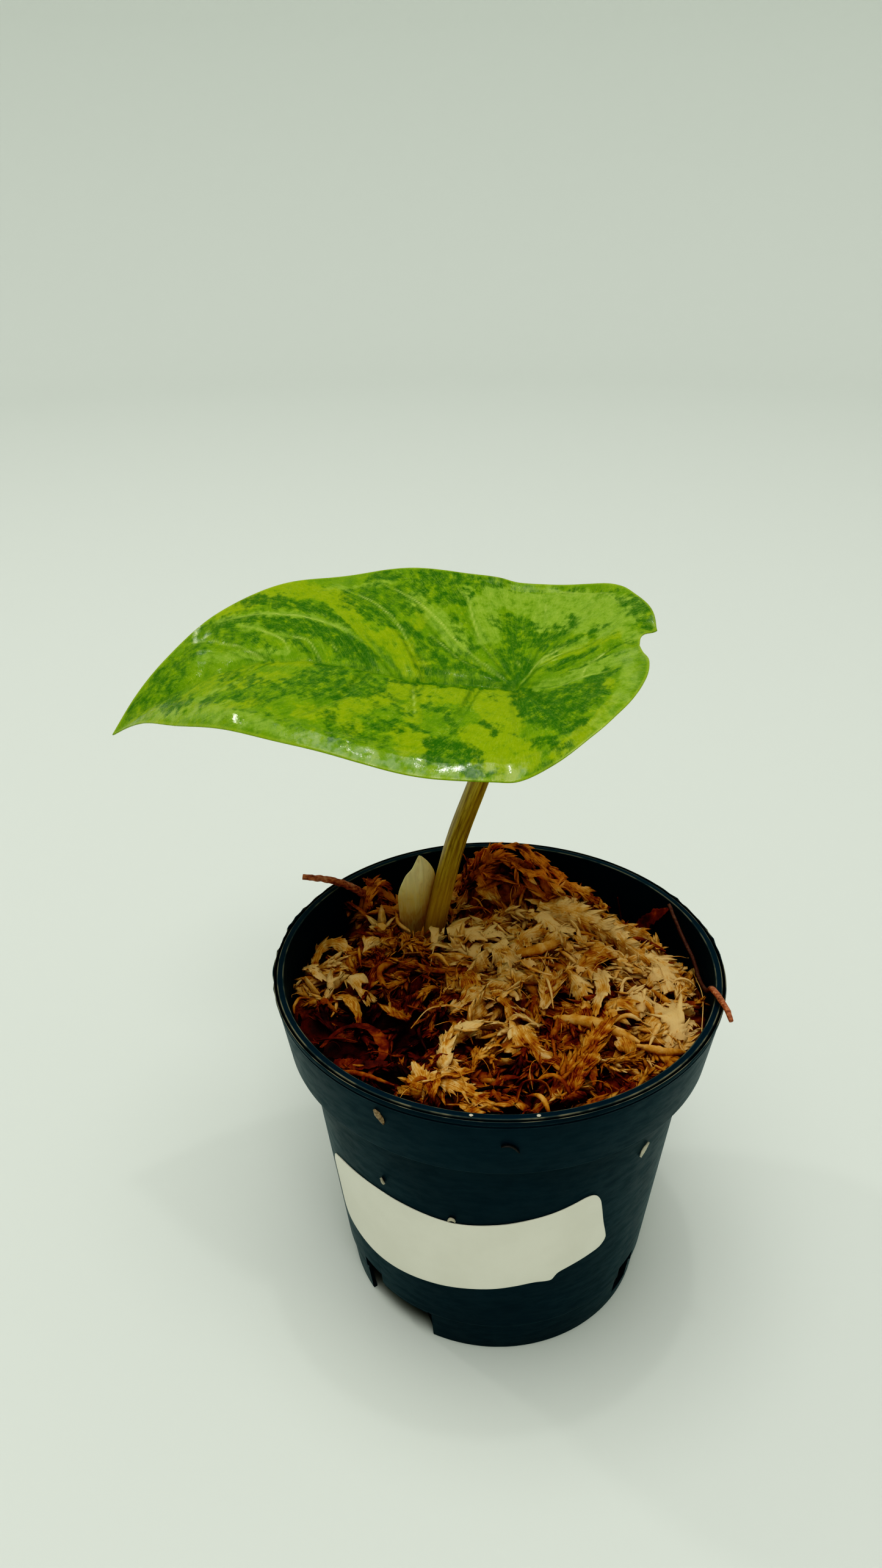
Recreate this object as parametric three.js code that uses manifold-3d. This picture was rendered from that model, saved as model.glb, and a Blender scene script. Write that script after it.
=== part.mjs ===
// A young shield-leaved aroid in a nursery pot: one broad variegated leaf on its stalk, with a
// papery sheath at the stalk's foot, standing in a bed of long-fibred moss.
// Millimetres, +Z up. The origin is the middle of the pot's base, on the surface it stands on.
// Seen from the front, looking along +Y, the leaf's tip points left, along -X.

import * as THREE from 'three';
import { mergeVertices } from 'three/addons/utils/BufferGeometryUtils.js';
import Module from 'manifold-3d';

const wasm = await Module();
wasm.setup();

// Driving dimensions

const GAP = 0.35; // clearance between pieces that touch

const POT = {
  height: 76,
  lipRadius: 45,
  lipDepth: 1.3,
  mouthRadius: 42.6,
  collarTopRadius: 44.5,
  collarBottomRadius: 42.4,
  collarBottom: 61.5,
  shoulderRadius: 39.2,
  waistRadius: 33.1,
  footHeight: 8.1,
  footRadius: 31.7,
  wall: 0.9,
  floorThickness: 1.2,
  padRadius: 8,
  sides: 64,
};
const FOOT_NOTCHES = { azimuths: [-38.5, 141.5], halfWidth: 16, height: 7.4 };
const CORNER_SLOTS = { azimuths: [-49, 57.5, 131, 237.5], halfWidth: 5, low: 3, high: 11.5 };
const FLOOR_HOLES = { count: 6, ring: 19, radius: 2.6 };

// The sticker's top and bottom edges on the pot's side, as [azimuth in degrees, height]
const LABEL = {
  stepDegrees: 2.6,
  thickness: 0.4,
  top: [[-63, 37.0], [-60, 40.2], [-52, 42.4], [-40, 43.2], [-28, 42.7], [-12, 41.8], [9, 43.8],
    [25, 46.4], [31, 45.4], [36, 41], [38.8, 35]],
  bottom: [[-63, 22.6], [-58, 20.3], [-50, 19.5], [-37, 19.2], [-18, 20.3], [-1, 21.3], [18, 22.1],
    [27, 24.4], [35, 25.8], [37.5, 27.6], [38.8, 31]],
};

// The leaf is drawn in its own plan: s runs from the stalk to the tip, t from the midrib to the
// far side. Its heights are above the point where the stalk joins it.
const LEAF = {
  joint: [2.9, 14.0, 129.7],
  thickness: 0.8,
  rings: 9,
  pointsPerSpan: 2,
  nearDroop: 0.165,
  midrib: [[-26, 10.2], [-20, 7.6], [-14, 5.3], [-6, 2.2], [0, 0], [4, 0], [15, 0.5], [27, 2.8],
    [39, 4.6], [50, 3.9], [60, 0.6], [69, -4.2], [75, -8.4], [79.4, -11.7]],
  farSlope: [[-26, 0.14], [-20, 0.23], [-14, 0.24], [-6, 0.29], [4, 0.37], [15, 0.41], [27, 0.36],
    [39, 0.3], [50, 0.38], [60, 0.5], [69, 0.62], [75, 0.8], [79.4, 0.9]],
  nearWidth: [[-26, 12], [-20, 17], [-14, 23], [-6, 27], [4, 29], [15, 29.5], [27, 28.5],
    [39, 25.5], [50, 20.5], [60, 14], [69, 7.2], [75, 3.2], [79.4, 2]],
};
const LEAF_FAR_EDGE = [[79.4, 0], [75, 4], [69, 8.4], [60, 14.6], [50, 20.3], [39, 25.2],
  [27, 28.3], [15, 29.4], [4, 28.9], [-4, 27.8], [-14, 24.6], [-20, 20.5], [-22.7, 16.8],
  [-24.6, 13], [-25.6, 9], [-25.9, 5.8]];
const LEAF_NOTCH = [[-25.9, 5.8], [-24, 4.6], [-22.6, 2.6], [-22.1, 0]];
const LEAF_NEAR_EDGE = [[-22.1, 0], [-22.5, -3], [-23.2, -6], [-22.9, -9.5], [-22, -12.5],
  [-20.3, -16], [-17.6, -19.6], [-13.5, -23.8], [-6, -27.9], [4, -29.2], [15, -29.4],
  [27, -28.3], [39, -25.3], [50, -20.9], [60, -14.2], [69, -7.2], [75, -2.6], [79.4, 0]];
const HOOK_DROOP = { s: -26, t: 5.5, depth: 1.8, spread: 3 };
// Veins from the stalk and the midrib to the margin, in the leaf's plan; the blade dips along each
const LEAF_VEINS = [
  [[0, 0], [5, 3], [12.4, 7.9], [16.1, 12.8], [19.6, 17.6], [24, 21.5], [36, 25]],
  [[17.1, 0], [22.1, 10], [26.2, 15.2], [30.3, 18.2], [41, 22.4]],
  [[22.8, 0], [27.7, 5.5], [32.3, 10.6], [36.2, 14]],
  [[27, 0], [32.2, 7.1], [37.8, 13.1], [48.3, 14.2], [60, 12.6]],
  [[37.8, 0], [41.4, 6], [50.8, 8.9], [56, 11]],
  [[47, 0], [52.2, 2.7], [57.2, 6.8], [66, 9.6]],
  [[18.2, 0], [19, -5], [18.7, -9.5], [17.5, -25]],
  [[28.4, 0], [31.7, -12], [37.4, -18], [44, -21]],
  [[47, 0], [52, -4.6], [56, -8.1], [61, -11]],
  [[7.4, 0], [9.9, -9.6], [12.3, -17.7], [15.7, -25]],
  [[0, 0], [0.4, -8.9], [-1.2, -24]],
  [[0, 0], [-3, 3.5], [-7.3, 5.4], [-13.3, 5.9], [-18.3, 8.9], [-22, 14]],
  [[0, 0], [-4.2, 6.7], [-7.3, 9.8], [-11.3, 13.1], [-16, 20]],
  [[0, 0], [-3.6, 8.8], [-4.6, 15.6], [-4.6, 26]],
  [[0, 0], [-5.6, -3.7], [-11.2, -4.6], [-19, -8]],
  [[0, 0], [-5.5, -12.3], [-9.5, -19.9], [-11, -24]],
  [[0, 0], [5.8, 9.3], [9.6, 17], [10.4, 26]],
];
const VEIN_GROOVE = { depth: 0.55, halfWidth: 1.6 };
const MIDRIB_GROOVE = { depth: 0.9, halfWidth: 2 };

// The stalk's centre line, from inside the moss to the leaf
const STALK = {
  path: [[-14.2, 19.4, 46], [-14.6, 20.4, 57], [-14, 21, 68], [-9.6, 18.7, 90], [-4.9, 15.9, 106.3],
    [0.2, 14.4, 121.5], [2.9, 14, 129.4]],
  footRadius: 2.5,
  topRadius: 1.8,
  sides: 12,
  steps: 15,
};
const CORM = { centre: [-14, 19, 38.2], radius: 6, halfHeight: 7.2, roots: 5, rootRadius: 1.1 };

// The papery sheath: centre line, half width and how far the edges curl behind the middle
const SHEATH = {
  thickness: 0.8,
  stations: [
    { at: [-19.2, 20.4, 65.0], half: 1.4, curl: 0.3 },
    { at: [-19.1, 20.1, 69.5], half: 2.0, curl: 0.7 },
    { at: [-18.6, 19.6, 74.0], half: 2.7, curl: 1.1 },
    { at: [-18.0, 19.2, 78.5], half: 3.0, curl: 1.2 },
    { at: [-16.9, 18.9, 82.5], half: 2.7, curl: 1.0 },
    { at: [-16.3, 18.6, 85.5], half: 1.9, curl: 0.5 },
    { at: [-16.7, 18.5, 88.2], half: 0.35, curl: 0 },
  ],
  turn: 0.3, // radians, right edge towards the back
};

// The bark twig that lies over the left of the rim, and the strip that leans in the pot at the
// right and hooks over the rim
const LEFT_TWIG = {
  path: [[-25, 28, 66.5], [-30.7, 25.4, 74.2], [-36.4, 24.3, 77.7], [-43, 24.5, 78.4]],
  radii: [0.8, 1.0, 0.95, 0.8],
};
const RIGHT_STRIP = {
  path: [[36.2, 20.2, 76.2], [38.4, 13.4, 73], [40.2, 8.2, 71], [40.6, 2, 70.8], [40.9, -4.5, 73],
    [40.9, -9, 77], [41.6, -12, 77.6], [42.6, -15.5, 77.5], [43.1, -18.2, 76.9]],
  radii: [0.5, 0.55, 0.55, 0.55, 0.55, 0.65, 0.8, 0.95, 0.7],
};

// The moss bed's top: its height in the middle and round the wall, its tufts and its hollows
const MOSS = {
  middle: 71.2,
  edge: [[-180, 65.5], [-150, 63.8], [-105, 65.5], [-60, 69.2], [-20, 72], [30, 71.8], [75, 69.5],
    [110, 66], [140, 63.8], [180, 65.5]],
  tufts: [
    { at: [-4, 33], spread: [6, 4.2], rise: 14.5 },
    { at: [10, 32], spread: [8, 4.6], rise: 10 },
    { at: [22, 30.5], spread: [5, 4], rise: 4 },
    { at: [-26.5, 26.5], spread: [4.2, 4.2], rise: 8.5 },
    { at: [-24, -10], spread: [8, 9], rise: -2.6 },
    { at: [-14, 20], spread: [7, 6], rise: -3 },
    { at: [8, 2], spread: [12, 10], rise: 1.6 },
    { at: [-2, -26], spread: [9, 6], rise: 1.2 },
    { at: [28, -12], spread: [8, 8], rise: 1 },
  ],
  columns: 60,
  rings: 12,
  relief: 0.9,
  strands: 48,
  strandLength: [9, 15],
  strandWidth: [2.8, 4.6],
  strandThickness: 1.7,
  seed: 7,
};

// Small helpers

const point = (p) => new THREE.Vector3(...p);
const radians = THREE.MathUtils.degToRad;

// Azimuth 0 faces the front (-Y) and grows towards +X
function polar(azimuth, radius, z) {
  const a = radians(azimuth);
  return new THREE.Vector3(radius * Math.sin(a), -radius * Math.cos(a), z);
}

// Smooth value through [x, y] knots, flat beyond the ends
function through(knots, x) {
  const last = knots.length - 1;
  const at = THREE.MathUtils.clamp(x, knots[0][0], knots[last][0]);
  let i = 0;
  while (i < last - 1 && at > knots[i + 1][0]) i += 1;
  const slope = (k) => {
    const a = knots[Math.max(k - 1, 0)];
    const b = knots[Math.min(k + 1, last)];
    return (b[1] - a[1]) / (b[0] - a[0]);
  };
  const width = knots[i + 1][0] - knots[i][0];
  const u = (at - knots[i][0]) / width;
  const u2 = u * u;
  const u3 = u2 * u;
  return (2 * u3 - 3 * u2 + 1) * knots[i][1] + (u3 - 2 * u2 + u) * width * slope(i)
    + (3 * u2 - 2 * u3) * knots[i + 1][1] + (u3 - u2) * width * slope(i + 1);
}

// Repeatable random numbers in [0, 1)
function seeded(seed) {
  let state = seed >>> 0;
  return () => {
    state = (state + 0x6d2b79f5) >>> 0;
    let v = state;
    v = Math.imul(v ^ (v >>> 15), v | 1);
    v ^= v + Math.imul(v ^ (v >>> 7), v | 61);
    return ((v ^ (v >>> 14)) >>> 0) / 4294967296;
  };
}

// Solids: a closed geometry with its faces out becomes a solid, and back

function signedVolume(geometry) {
  const p = geometry.getAttribute('position');
  const index = geometry.getIndex();
  const a = new THREE.Vector3();
  const b = new THREE.Vector3();
  const c = new THREE.Vector3();
  let sum = 0;
  for (let i = 0; i < index.count; i += 3) {
    a.fromBufferAttribute(p, index.getX(i));
    b.fromBufferAttribute(p, index.getX(i + 1));
    c.fromBufferAttribute(p, index.getX(i + 2));
    sum += a.dot(b.cross(c)) / 6;
  }
  return sum;
}

function solid(geometry) {
  const bare = geometry.clone();
  for (const name of ['normal', 'uv']) {
    if (bare.getAttribute(name)) bare.deleteAttribute(name);
  }
  const merged = mergeVertices(bare, 1e-4);
  const outward = signedVolume(merged) > 0;
  const index = merged.getIndex().array;
  const triVerts = [];
  for (let i = 0; i < index.length; i += 3) {
    const [a, b, c] = [index[i], index[i + 1], index[i + 2]];
    if (a === b || b === c || c === a) continue;
    triVerts.push(a, outward ? b : c, outward ? c : b);
  }
  return new wasm.Manifold(new wasm.Mesh({
    numProp: 3,
    vertProperties: Float32Array.from(merged.getAttribute('position').array),
    triVerts: Uint32Array.from(triVerts),
  }));
}

function geometryOf(body) {
  const mesh = body.getMesh();
  const geometry = new THREE.BufferGeometry();
  geometry.setAttribute('position', new THREE.BufferAttribute(mesh.vertProperties, 3));
  geometry.setIndex(new THREE.BufferAttribute(mesh.triVerts, 1));
  geometry.computeVertexNormals();
  return geometry;
}

// Keeps the largest piece of a cut body, so no loose crumb is left
function largest(body) {
  const pieces = body.decompose();
  return pieces.reduce((best, piece) => (piece.volume() > best.volume() ? piece : best));
}

// A closed skin over rows of points: each row is a closed loop, and both end rows are capped
function skin(rows) {
  const across = rows[0].length;
  const positions = rows.flat().flatMap((p) => p.toArray());
  const index = [];
  for (let r = 0; r < rows.length - 1; r += 1) {
    for (let i = 0; i < across; i += 1) {
      const j = (i + 1) % across;
      const a = r * across + i;
      const b = r * across + j;
      index.push(a, b, b + across, a, b + across, a + across);
    }
  }
  for (const [row, turned] of [[0, true], [rows.length - 1, false]]) {
    const middle = positions.length / 3;
    const centre = new THREE.Vector3();
    for (const p of rows[row]) centre.addScaledVector(p, 1 / across);
    positions.push(...centre.toArray());
    for (let i = 0; i < across; i += 1) {
      const a = row * across + i;
      const b = row * across + ((i + 1) % across);
      index.push(...(turned ? [middle, b, a] : [middle, a, b]));
    }
  }
  const geometry = new THREE.BufferGeometry();
  geometry.setAttribute('position', new THREE.Float32BufferAttribute(positions, 3));
  geometry.setIndex(index);
  return geometry;
}

// A round rod along a curve with a radius at each of its points, grown by extra all round
function rod(path, radii, sides, steps, extra = 0) {
  const curve = new THREE.CatmullRomCurve3(path.map(point));
  const frames = curve.computeFrenetFrames(steps, false);
  const knots = radii.map((r, i) => [i / (radii.length - 1), r]);
  const rows = [];
  for (let k = 0; k <= steps; k += 1) {
    const u = k / steps;
    const radius = through(knots, u) + extra;
    const centre = curve.getPointAt(u);
    if (k === 0) centre.addScaledVector(curve.getTangentAt(0), -extra);
    if (k === steps) centre.addScaledVector(curve.getTangentAt(1), extra);
    rows.push(Array.from({ length: sides }, (_, i) => {
      const a = (i / sides) * Math.PI * 2;
      return centre.clone()
        .addScaledVector(frames.normals[k], Math.cos(a) * radius)
        .addScaledVector(frames.binormals[k], Math.sin(a) * radius);
    }));
  }
  return solid(skin(rows));
}

// A solid of revolution about +Z from [radius, z] points
function turned(profile, sides) {
  const lathe = new THREE.LatheGeometry(profile.map(([r, z]) => new THREE.Vector2(r, z)), sides);
  return solid(lathe.rotateX(Math.PI / 2));
}

// A block between two azimuths, two radii and two heights
function sector(from, to, inner, outer, low, high) {
  const steps = 4;
  const rows = [];
  for (let k = 0; k <= steps; k += 1) {
    const azimuth = THREE.MathUtils.lerp(from, to, k / steps);
    rows.push([[inner, low], [outer, low], [outer, high], [inner, high]]
      .map(([r, z]) => polar(azimuth, r, z)));
  }
  return solid(skin(rows));
}

// Pot

const sideSlope = (POT.shoulderRadius - POT.waistRadius) / (POT.collarBottom - POT.footHeight);
const sideRadius = (z) => POT.waistRadius + sideSlope * (z - POT.footHeight);
const floorTop = POT.footHeight + POT.floorThickness;
const ledgeTop = POT.collarBottom + POT.wall;
const collarInner = POT.collarBottomRadius - POT.wall;

function potProfile() {
  const rimUnder = POT.height - POT.lipDepth;
  const grooveDepth = 0.35;
  return [
    [0, 0],
    [POT.padRadius, 0],
    [POT.padRadius, POT.footHeight],
    [POT.waistRadius - POT.wall, POT.footHeight],
    [POT.footRadius - POT.wall, 0],
    [POT.footRadius, 0],
    [POT.waistRadius - grooveDepth, POT.footHeight],
    [POT.waistRadius, POT.footHeight + grooveDepth],
    [POT.shoulderRadius, POT.collarBottom],
    [POT.collarBottomRadius, POT.collarBottom],
    [POT.collarTopRadius, rimUnder],
    [POT.lipRadius, rimUnder],
    [POT.lipRadius, POT.height],
    [POT.mouthRadius, POT.height],
    [collarInner, ledgeTop],
    [POT.shoulderRadius - POT.wall, ledgeTop],
    [sideRadius(floorTop) - POT.wall, floorTop],
    [0, floorTop],
  ];
}

function buildPot() {
  let body = turned(potProfile(), POT.sides);
  const reach = 4;
  for (const azimuth of FOOT_NOTCHES.azimuths) {
    body = body.subtract(sector(azimuth - FOOT_NOTCHES.halfWidth, azimuth + FOOT_NOTCHES.halfWidth,
      POT.footRadius - reach, POT.waistRadius + reach, -1, FOOT_NOTCHES.height));
  }
  for (const azimuth of CORNER_SLOTS.azimuths) {
    body = body.subtract(sector(azimuth - CORNER_SLOTS.halfWidth, azimuth + CORNER_SLOTS.halfWidth,
      POT.footRadius - reach, POT.waistRadius + reach, CORNER_SLOTS.low, CORNER_SLOTS.high));
  }
  for (let k = 0; k < FLOOR_HOLES.count; k += 1) {
    const centre = polar((k * 360) / FLOOR_HOLES.count, FLOOR_HOLES.ring, floorTop);
    const punch = new THREE.CylinderGeometry(FLOOR_HOLES.radius, FLOOR_HOLES.radius, 6, 12)
      .rotateX(Math.PI / 2).translate(centre.x, centre.y, centre.z);
    body = body.subtract(solid(punch));
  }
  return body;
}

// Sticker on the pot's side

function buildLabel() {
  const from = LABEL.top[0][0];
  const to = LABEL.top[LABEL.top.length - 1][0];
  const steps = Math.round((to - from) / LABEL.stepDegrees);
  const rows = [];
  for (let k = 0; k <= steps; k += 1) {
    const azimuth = THREE.MathUtils.lerp(from, to, k / steps);
    const low = through(LABEL.bottom, azimuth);
    const high = through(LABEL.top, azimuth);
    rows.push([[0, low], [1, low], [1, high], [0, high]].map(([face, z]) => (
      polar(azimuth, sideRadius(z) + GAP + face * LABEL.thickness, z))));
  }
  return solid(skin(rows));
}

// Leaf blade

function distanceToLine(s, t, line) {
  let best = Infinity;
  let along = 0;
  for (let i = 0; i < line.length - 1; i += 1) {
    const [ax, ay] = line[i];
    const dx = line[i + 1][0] - ax;
    const dy = line[i + 1][1] - ay;
    const u = THREE.MathUtils.clamp(((s - ax) * dx + (t - ay) * dy) / (dx * dx + dy * dy), 0, 1);
    const gap = Math.hypot(s - ax - u * dx, t - ay - u * dy);
    if (gap < best) {
      best = gap;
      along = (i + u) / (line.length - 1);
    }
  }
  return { gap: best, along };
}

function leafHeight(s, t) {
  const width = through(LEAF.nearWidth, s);
  const share = Math.abs(t) / width;
  const near = -LEAF.nearDroop * width * (0.45 * share + 0.55 * share ** 3);
  const toHook = Math.hypot(s - HOOK_DROOP.s, t - HOOK_DROOP.t) / HOOK_DROOP.spread;
  const far = through(LEAF.farSlope, s) * t - HOOK_DROOP.depth * Math.exp(-toHook * toHook);
  let groove = 0;
  for (const vein of LEAF_VEINS) {
    const { gap, along } = distanceToLine(s, t, vein);
    const here = VEIN_GROOVE.depth * (1 - along) * Math.exp(-((gap / VEIN_GROOVE.halfWidth) ** 2));
    groove = Math.max(groove, here);
  }
  const toTip = THREE.MathUtils.clamp(s / LEAF.midrib.at(-1)[0], 0, 1);
  const midrib = s < 0 ? 0 : MIDRIB_GROOVE.depth * (1 - toTip)
    * Math.exp(-((t / MIDRIB_GROOVE.halfWidth) ** 2));
  return through(LEAF.midrib, s) + (t >= 0 ? far : near) - Math.max(groove, midrib);
}

function leafEdge() {
  const edge = [];
  for (const line of [LEAF_NEAR_EDGE, LEAF_FAR_EDGE, LEAF_NOTCH]) {
    const curve = new THREE.CatmullRomCurve3(line.map(([s, t]) => new THREE.Vector3(s, t, 0)));
    const count = (line.length - 1) * LEAF.pointsPerSpan;
    for (let k = 0; k < count; k += 1) edge.push(curve.getPoint(k / count));
  }
  return edge;
}

// Both faces share one fan of rings from the stalk's joint to the edge, so they never cross
function buildLeaf() {
  const edge = leafEdge();
  const [jointX, jointY, jointZ] = LEAF.joint;
  const positions = [];
  const put = (s, t, drop) => {
    positions.push(jointX - s, jointY + t, jointZ + leafHeight(s, t) - drop);
  };
  for (const drop of [0, LEAF.thickness]) {
    put(0, 0, drop);
    for (let ring = 1; ring <= LEAF.rings; ring += 1) {
      const share = ring / LEAF.rings;
      for (const p of edge) put(p.x * share, p.y * share, drop);
    }
  }
  const perFace = 1 + LEAF.rings * edge.length;
  const index = [];
  const at = (face, ring, i) => (
    face * perFace + (ring === 0 ? 0 : 1 + (ring - 1) * edge.length + (i % edge.length)));
  const addFace = (face, a, b, c) => index.push(...(face === 0 ? [a, b, c] : [a, c, b]));
  for (const face of [0, 1]) {
    for (let i = 0; i < edge.length; i += 1) {
      addFace(face, at(face, 0, 0), at(face, 1, i), at(face, 1, i + 1));
      for (let ring = 1; ring < LEAF.rings; ring += 1) {
        addFace(face, at(face, ring, i), at(face, ring + 1, i), at(face, ring + 1, i + 1));
        addFace(face, at(face, ring, i), at(face, ring + 1, i + 1), at(face, ring, i + 1));
      }
    }
  }
  for (let i = 0; i < edge.length; i += 1) {
    const [a, b] = [at(0, LEAF.rings, i), at(0, LEAF.rings, i + 1)];
    const [c, d] = [at(1, LEAF.rings, i), at(1, LEAF.rings, i + 1)];
    index.push(a, c, d, a, d, b);
  }
  const geometry = new THREE.BufferGeometry();
  geometry.setAttribute('position', new THREE.Float32BufferAttribute(positions, 3));
  geometry.setIndex(index);
  return solid(geometry);
}

// Stalk, corm with its roots, and sheath

function stalkRod(extra = 0) {
  return rod(STALK.path, [STALK.footRadius, STALK.topRadius], STALK.sides, STALK.steps, extra);
}

// The stalk's top follows the leaf's underside
function buildStalk() {
  return largest(stalkRod().subtract(buildLeaf().translate([0, 0, -GAP])));
}

function buildCorm(extra = 0) {
  const centre = point(CORM.centre);
  const flare = CORM.radius + extra;
  const ball = new THREE.SphereGeometry(1, 12, 8).rotateX(Math.PI / 2)
    .scale(flare, flare, CORM.halfHeight + extra).translate(...CORM.centre);
  let body = solid(ball);
  for (let k = 0; k < CORM.roots; k += 1) {
    const turn = (k / CORM.roots) * Math.PI * 2 + 0.4;
    const spread = (r, drop) => [centre.x + r * Math.cos(turn + drop * 0.03),
      centre.y + r * Math.sin(turn + drop * 0.03), centre.z - drop];
    const path = [spread(3, 2), spread(6.5, 6), spread(7.5, 14), spread(5 + (k % 3), 22)];
    const radii = [CORM.rootRadius, CORM.rootRadius, CORM.rootRadius * 0.6];
    body = body.add(rod(path, radii, 5, 4, extra));
  }
  return body;
}

function buildSheath(extra = 0) {
  const half = SHEATH.thickness / 2 + extra;
  const along = new THREE.Vector3(Math.cos(SHEATH.turn), Math.sin(SHEATH.turn), 0);
  const back = new THREE.Vector3(-Math.sin(SHEATH.turn), Math.cos(SHEATH.turn), 0);
  const rows = SHEATH.stations.map(({ at, half: reach, curl }) => {
    const place = (u, side) => point(at)
      .addScaledVector(along, u * (reach + extra))
      .addScaledVector(back, curl * u * u + side * half);
    return [-1, -0.5, 0, 0.5, 1].map((u) => place(u, -1))
      .concat([1, 0.5, 0, -0.5, -1].map((u) => place(u, 1)));
  });
  if (extra > 0) for (const p of rows[0]) p.z -= extra;
  return solid(skin(rows));
}

// Bark pieces

function buildLeftTwig(extra = 0) {
  return rod(LEFT_TWIG.path, LEFT_TWIG.radii, 8, 10, extra);
}

function buildRightStrip(extra = 0) {
  return rod(RIGHT_STRIP.path, RIGHT_STRIP.radii, 6, 22, extra);
}

// Moss bed

function mossHeight(x, y) {
  const azimuth = THREE.MathUtils.radToDeg(Math.atan2(x, -y));
  const share = Math.min(Math.hypot(x, y) / collarInner, 1);
  let z = THREE.MathUtils.lerp(MOSS.middle, through(MOSS.edge, azimuth), share ** 3);
  for (const { at, spread, rise } of MOSS.tufts) {
    const u = (x - at[0]) / spread[0];
    const v = (y - at[1]) / spread[1];
    z += rise * Math.exp(-(u * u + v * v) / 2);
  }
  return z;
}

// Matted strands as low relief: two crossing sets of ridges that wander over the bed
function mossRelief(x, y) {
  const first = Math.sin(x * 1.05 + 1.8 * Math.sin(y * 0.31)) * Math.sin(y * 0.63 + x * 0.2);
  const second = Math.sin(y * 1.2 + 1.6 * Math.sin(x * 0.27 + 2)) * Math.sin(x * 0.55 - y * 0.25);
  return MOSS.relief * Math.max(first, second);
}

// Inner wall of the pot's collar, less the clearance
function mouthRadius(z) {
  const share = THREE.MathUtils.clamp((z - ledgeTop) / (POT.height - ledgeTop), 0, 1);
  return THREE.MathUtils.lerp(collarInner, POT.mouthRadius, share) - GAP;
}

function mossBody() {
  const low = floorTop + GAP;
  const flareZ = ledgeTop + GAP;
  const columns = [];
  for (let c = 0; c < MOSS.columns; c += 1) {
    const azimuth = -180 + (c * 360) / MOSS.columns;
    const wall = polar(azimuth, collarInner - GAP, 0);
    const edgeZ = Math.max(mossHeight(wall.x, wall.y), flareZ + 0.6);
    const edgeRadius = mouthRadius(edgeZ);
    const column = [
      polar(azimuth, sideRadius(low) - POT.wall - GAP, low),
      polar(azimuth, POT.shoulderRadius - POT.wall - GAP, flareZ),
      polar(azimuth, collarInner - GAP, flareZ),
      polar(azimuth, edgeRadius, edgeZ),
    ];
    for (let ring = 1; ring < MOSS.rings; ring += 1) {
      const p = polar(azimuth, edgeRadius * (1 - ring / MOSS.rings), 0);
      p.z = mossHeight(p.x, p.y) + mossRelief(p.x, p.y);
      column.push(p);
    }
    columns.push(column);
  }
  const rows = columns[0].map((_, r) => columns.map((column) => column[r]));
  return solid(skin(rows));
}

// One moss strand: a bent sliver that follows the bed, its root sunk in and its end lifted
function mossStrand(start, heading, length, width, thickness) {
  const lifts = [-1.3, 0.9, 1.9, 2.8];
  const widths = [0.3, 1, 0.85, 0.12];
  const bend = 0.4;
  let [x, y] = start;
  const rows = [];
  for (let k = 0; k < lifts.length; k += 1) {
    const turn = heading + bend * k;
    const side = new THREE.Vector3(-Math.sin(turn), Math.cos(turn), 0);
    const middle = new THREE.Vector3(x, y, mossHeight(x, y) + lifts[k]);
    const half = (width * widths[k]) / 2;
    const deep = (thickness * Math.max(widths[k], 0.4)) / 2;
    rows.push([
      middle.clone().addScaledVector(side, half),
      middle.clone().add(new THREE.Vector3(0, 0, deep)),
      middle.clone().addScaledVector(side, -half),
      middle.clone().add(new THREE.Vector3(0, 0, -deep)),
    ]);
    x += (Math.cos(turn) * length) / (lifts.length - 1);
    y += (Math.sin(turn) * length) / (lifts.length - 1);
  }
  return solid(skin(rows));
}

function mossStrands() {
  const random = seeded(MOSS.seed);
  const goldenTurn = Math.PI * (3 - Math.sqrt(5));
  const reach = POT.mouthRadius - 5;
  const strands = [];
  for (let k = 0; k < MOSS.strands; k += 1) {
    const radius = reach * Math.sqrt((k + 0.5) / MOSS.strands);
    const turn = k * goldenTurn + random() * 0.4;
    const start = [radius * Math.cos(turn), radius * Math.sin(turn)];
    const heading = random() * Math.PI * 2;
    const length = THREE.MathUtils.lerp(...MOSS.strandLength, random());
    const width = THREE.MathUtils.lerp(...MOSS.strandWidth, random());
    strands.push(mossStrand(start, heading, length, width, MOSS.strandThickness));
  }
  return strands;
}

// The room inside the pot's collar and above its mouth, which strands keep to
function mouthSpace() {
  const flareZ = ledgeTop + GAP;
  const top = POT.height + 20;
  return turned([[0, flareZ], [collarInner - GAP, flareZ], [POT.mouthRadius - GAP, POT.height],
    [POT.mouthRadius - GAP, top], [0, top]], MOSS.columns);
}

function buildMoss() {
  const room = mouthSpace();
  let body = mossBody();
  for (const strand of mossStrands()) body = body.add(strand.intersect(room));
  const holes = [stalkRod(GAP), buildCorm(GAP), buildSheath(GAP), buildLeftTwig(GAP),
    buildRightStrip(GAP)];
  for (const hole of holes) body = body.subtract(hole);
  return largest(body);
}

// Materials and the finished plant

const FINISH = {
  pot: { color: 0x0d1d22, roughness: 0.42, metalness: 0 },
  label: { color: 0xf2f0ea, roughness: 0.7, metalness: 0 },
  moss: { color: 0x9a7440, roughness: 0.95, metalness: 0 },
  stalk: { color: 0x6f6a35, roughness: 0.55, metalness: 0 },
  corm: { color: 0x5a3d24, roughness: 0.85, metalness: 0 },
  sheath: { color: 0xa9a17c, roughness: 0.7, metalness: 0 },
  leaf: { color: 0x4f8a1e, roughness: 0.28, metalness: 0 },
  bark: { color: 0x6b2f1a, roughness: 0.8, metalness: 0 },
};

function named(name, body, finish) {
  const mesh = new THREE.Mesh(geometryOf(body), new THREE.MeshStandardMaterial(FINISH[finish]));
  mesh.name = name;
  return mesh;
}

const holder = new THREE.Group();
holder.add(named('pot', buildPot(), 'pot'));
holder.add(named('label', buildLabel(), 'label'));

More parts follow.
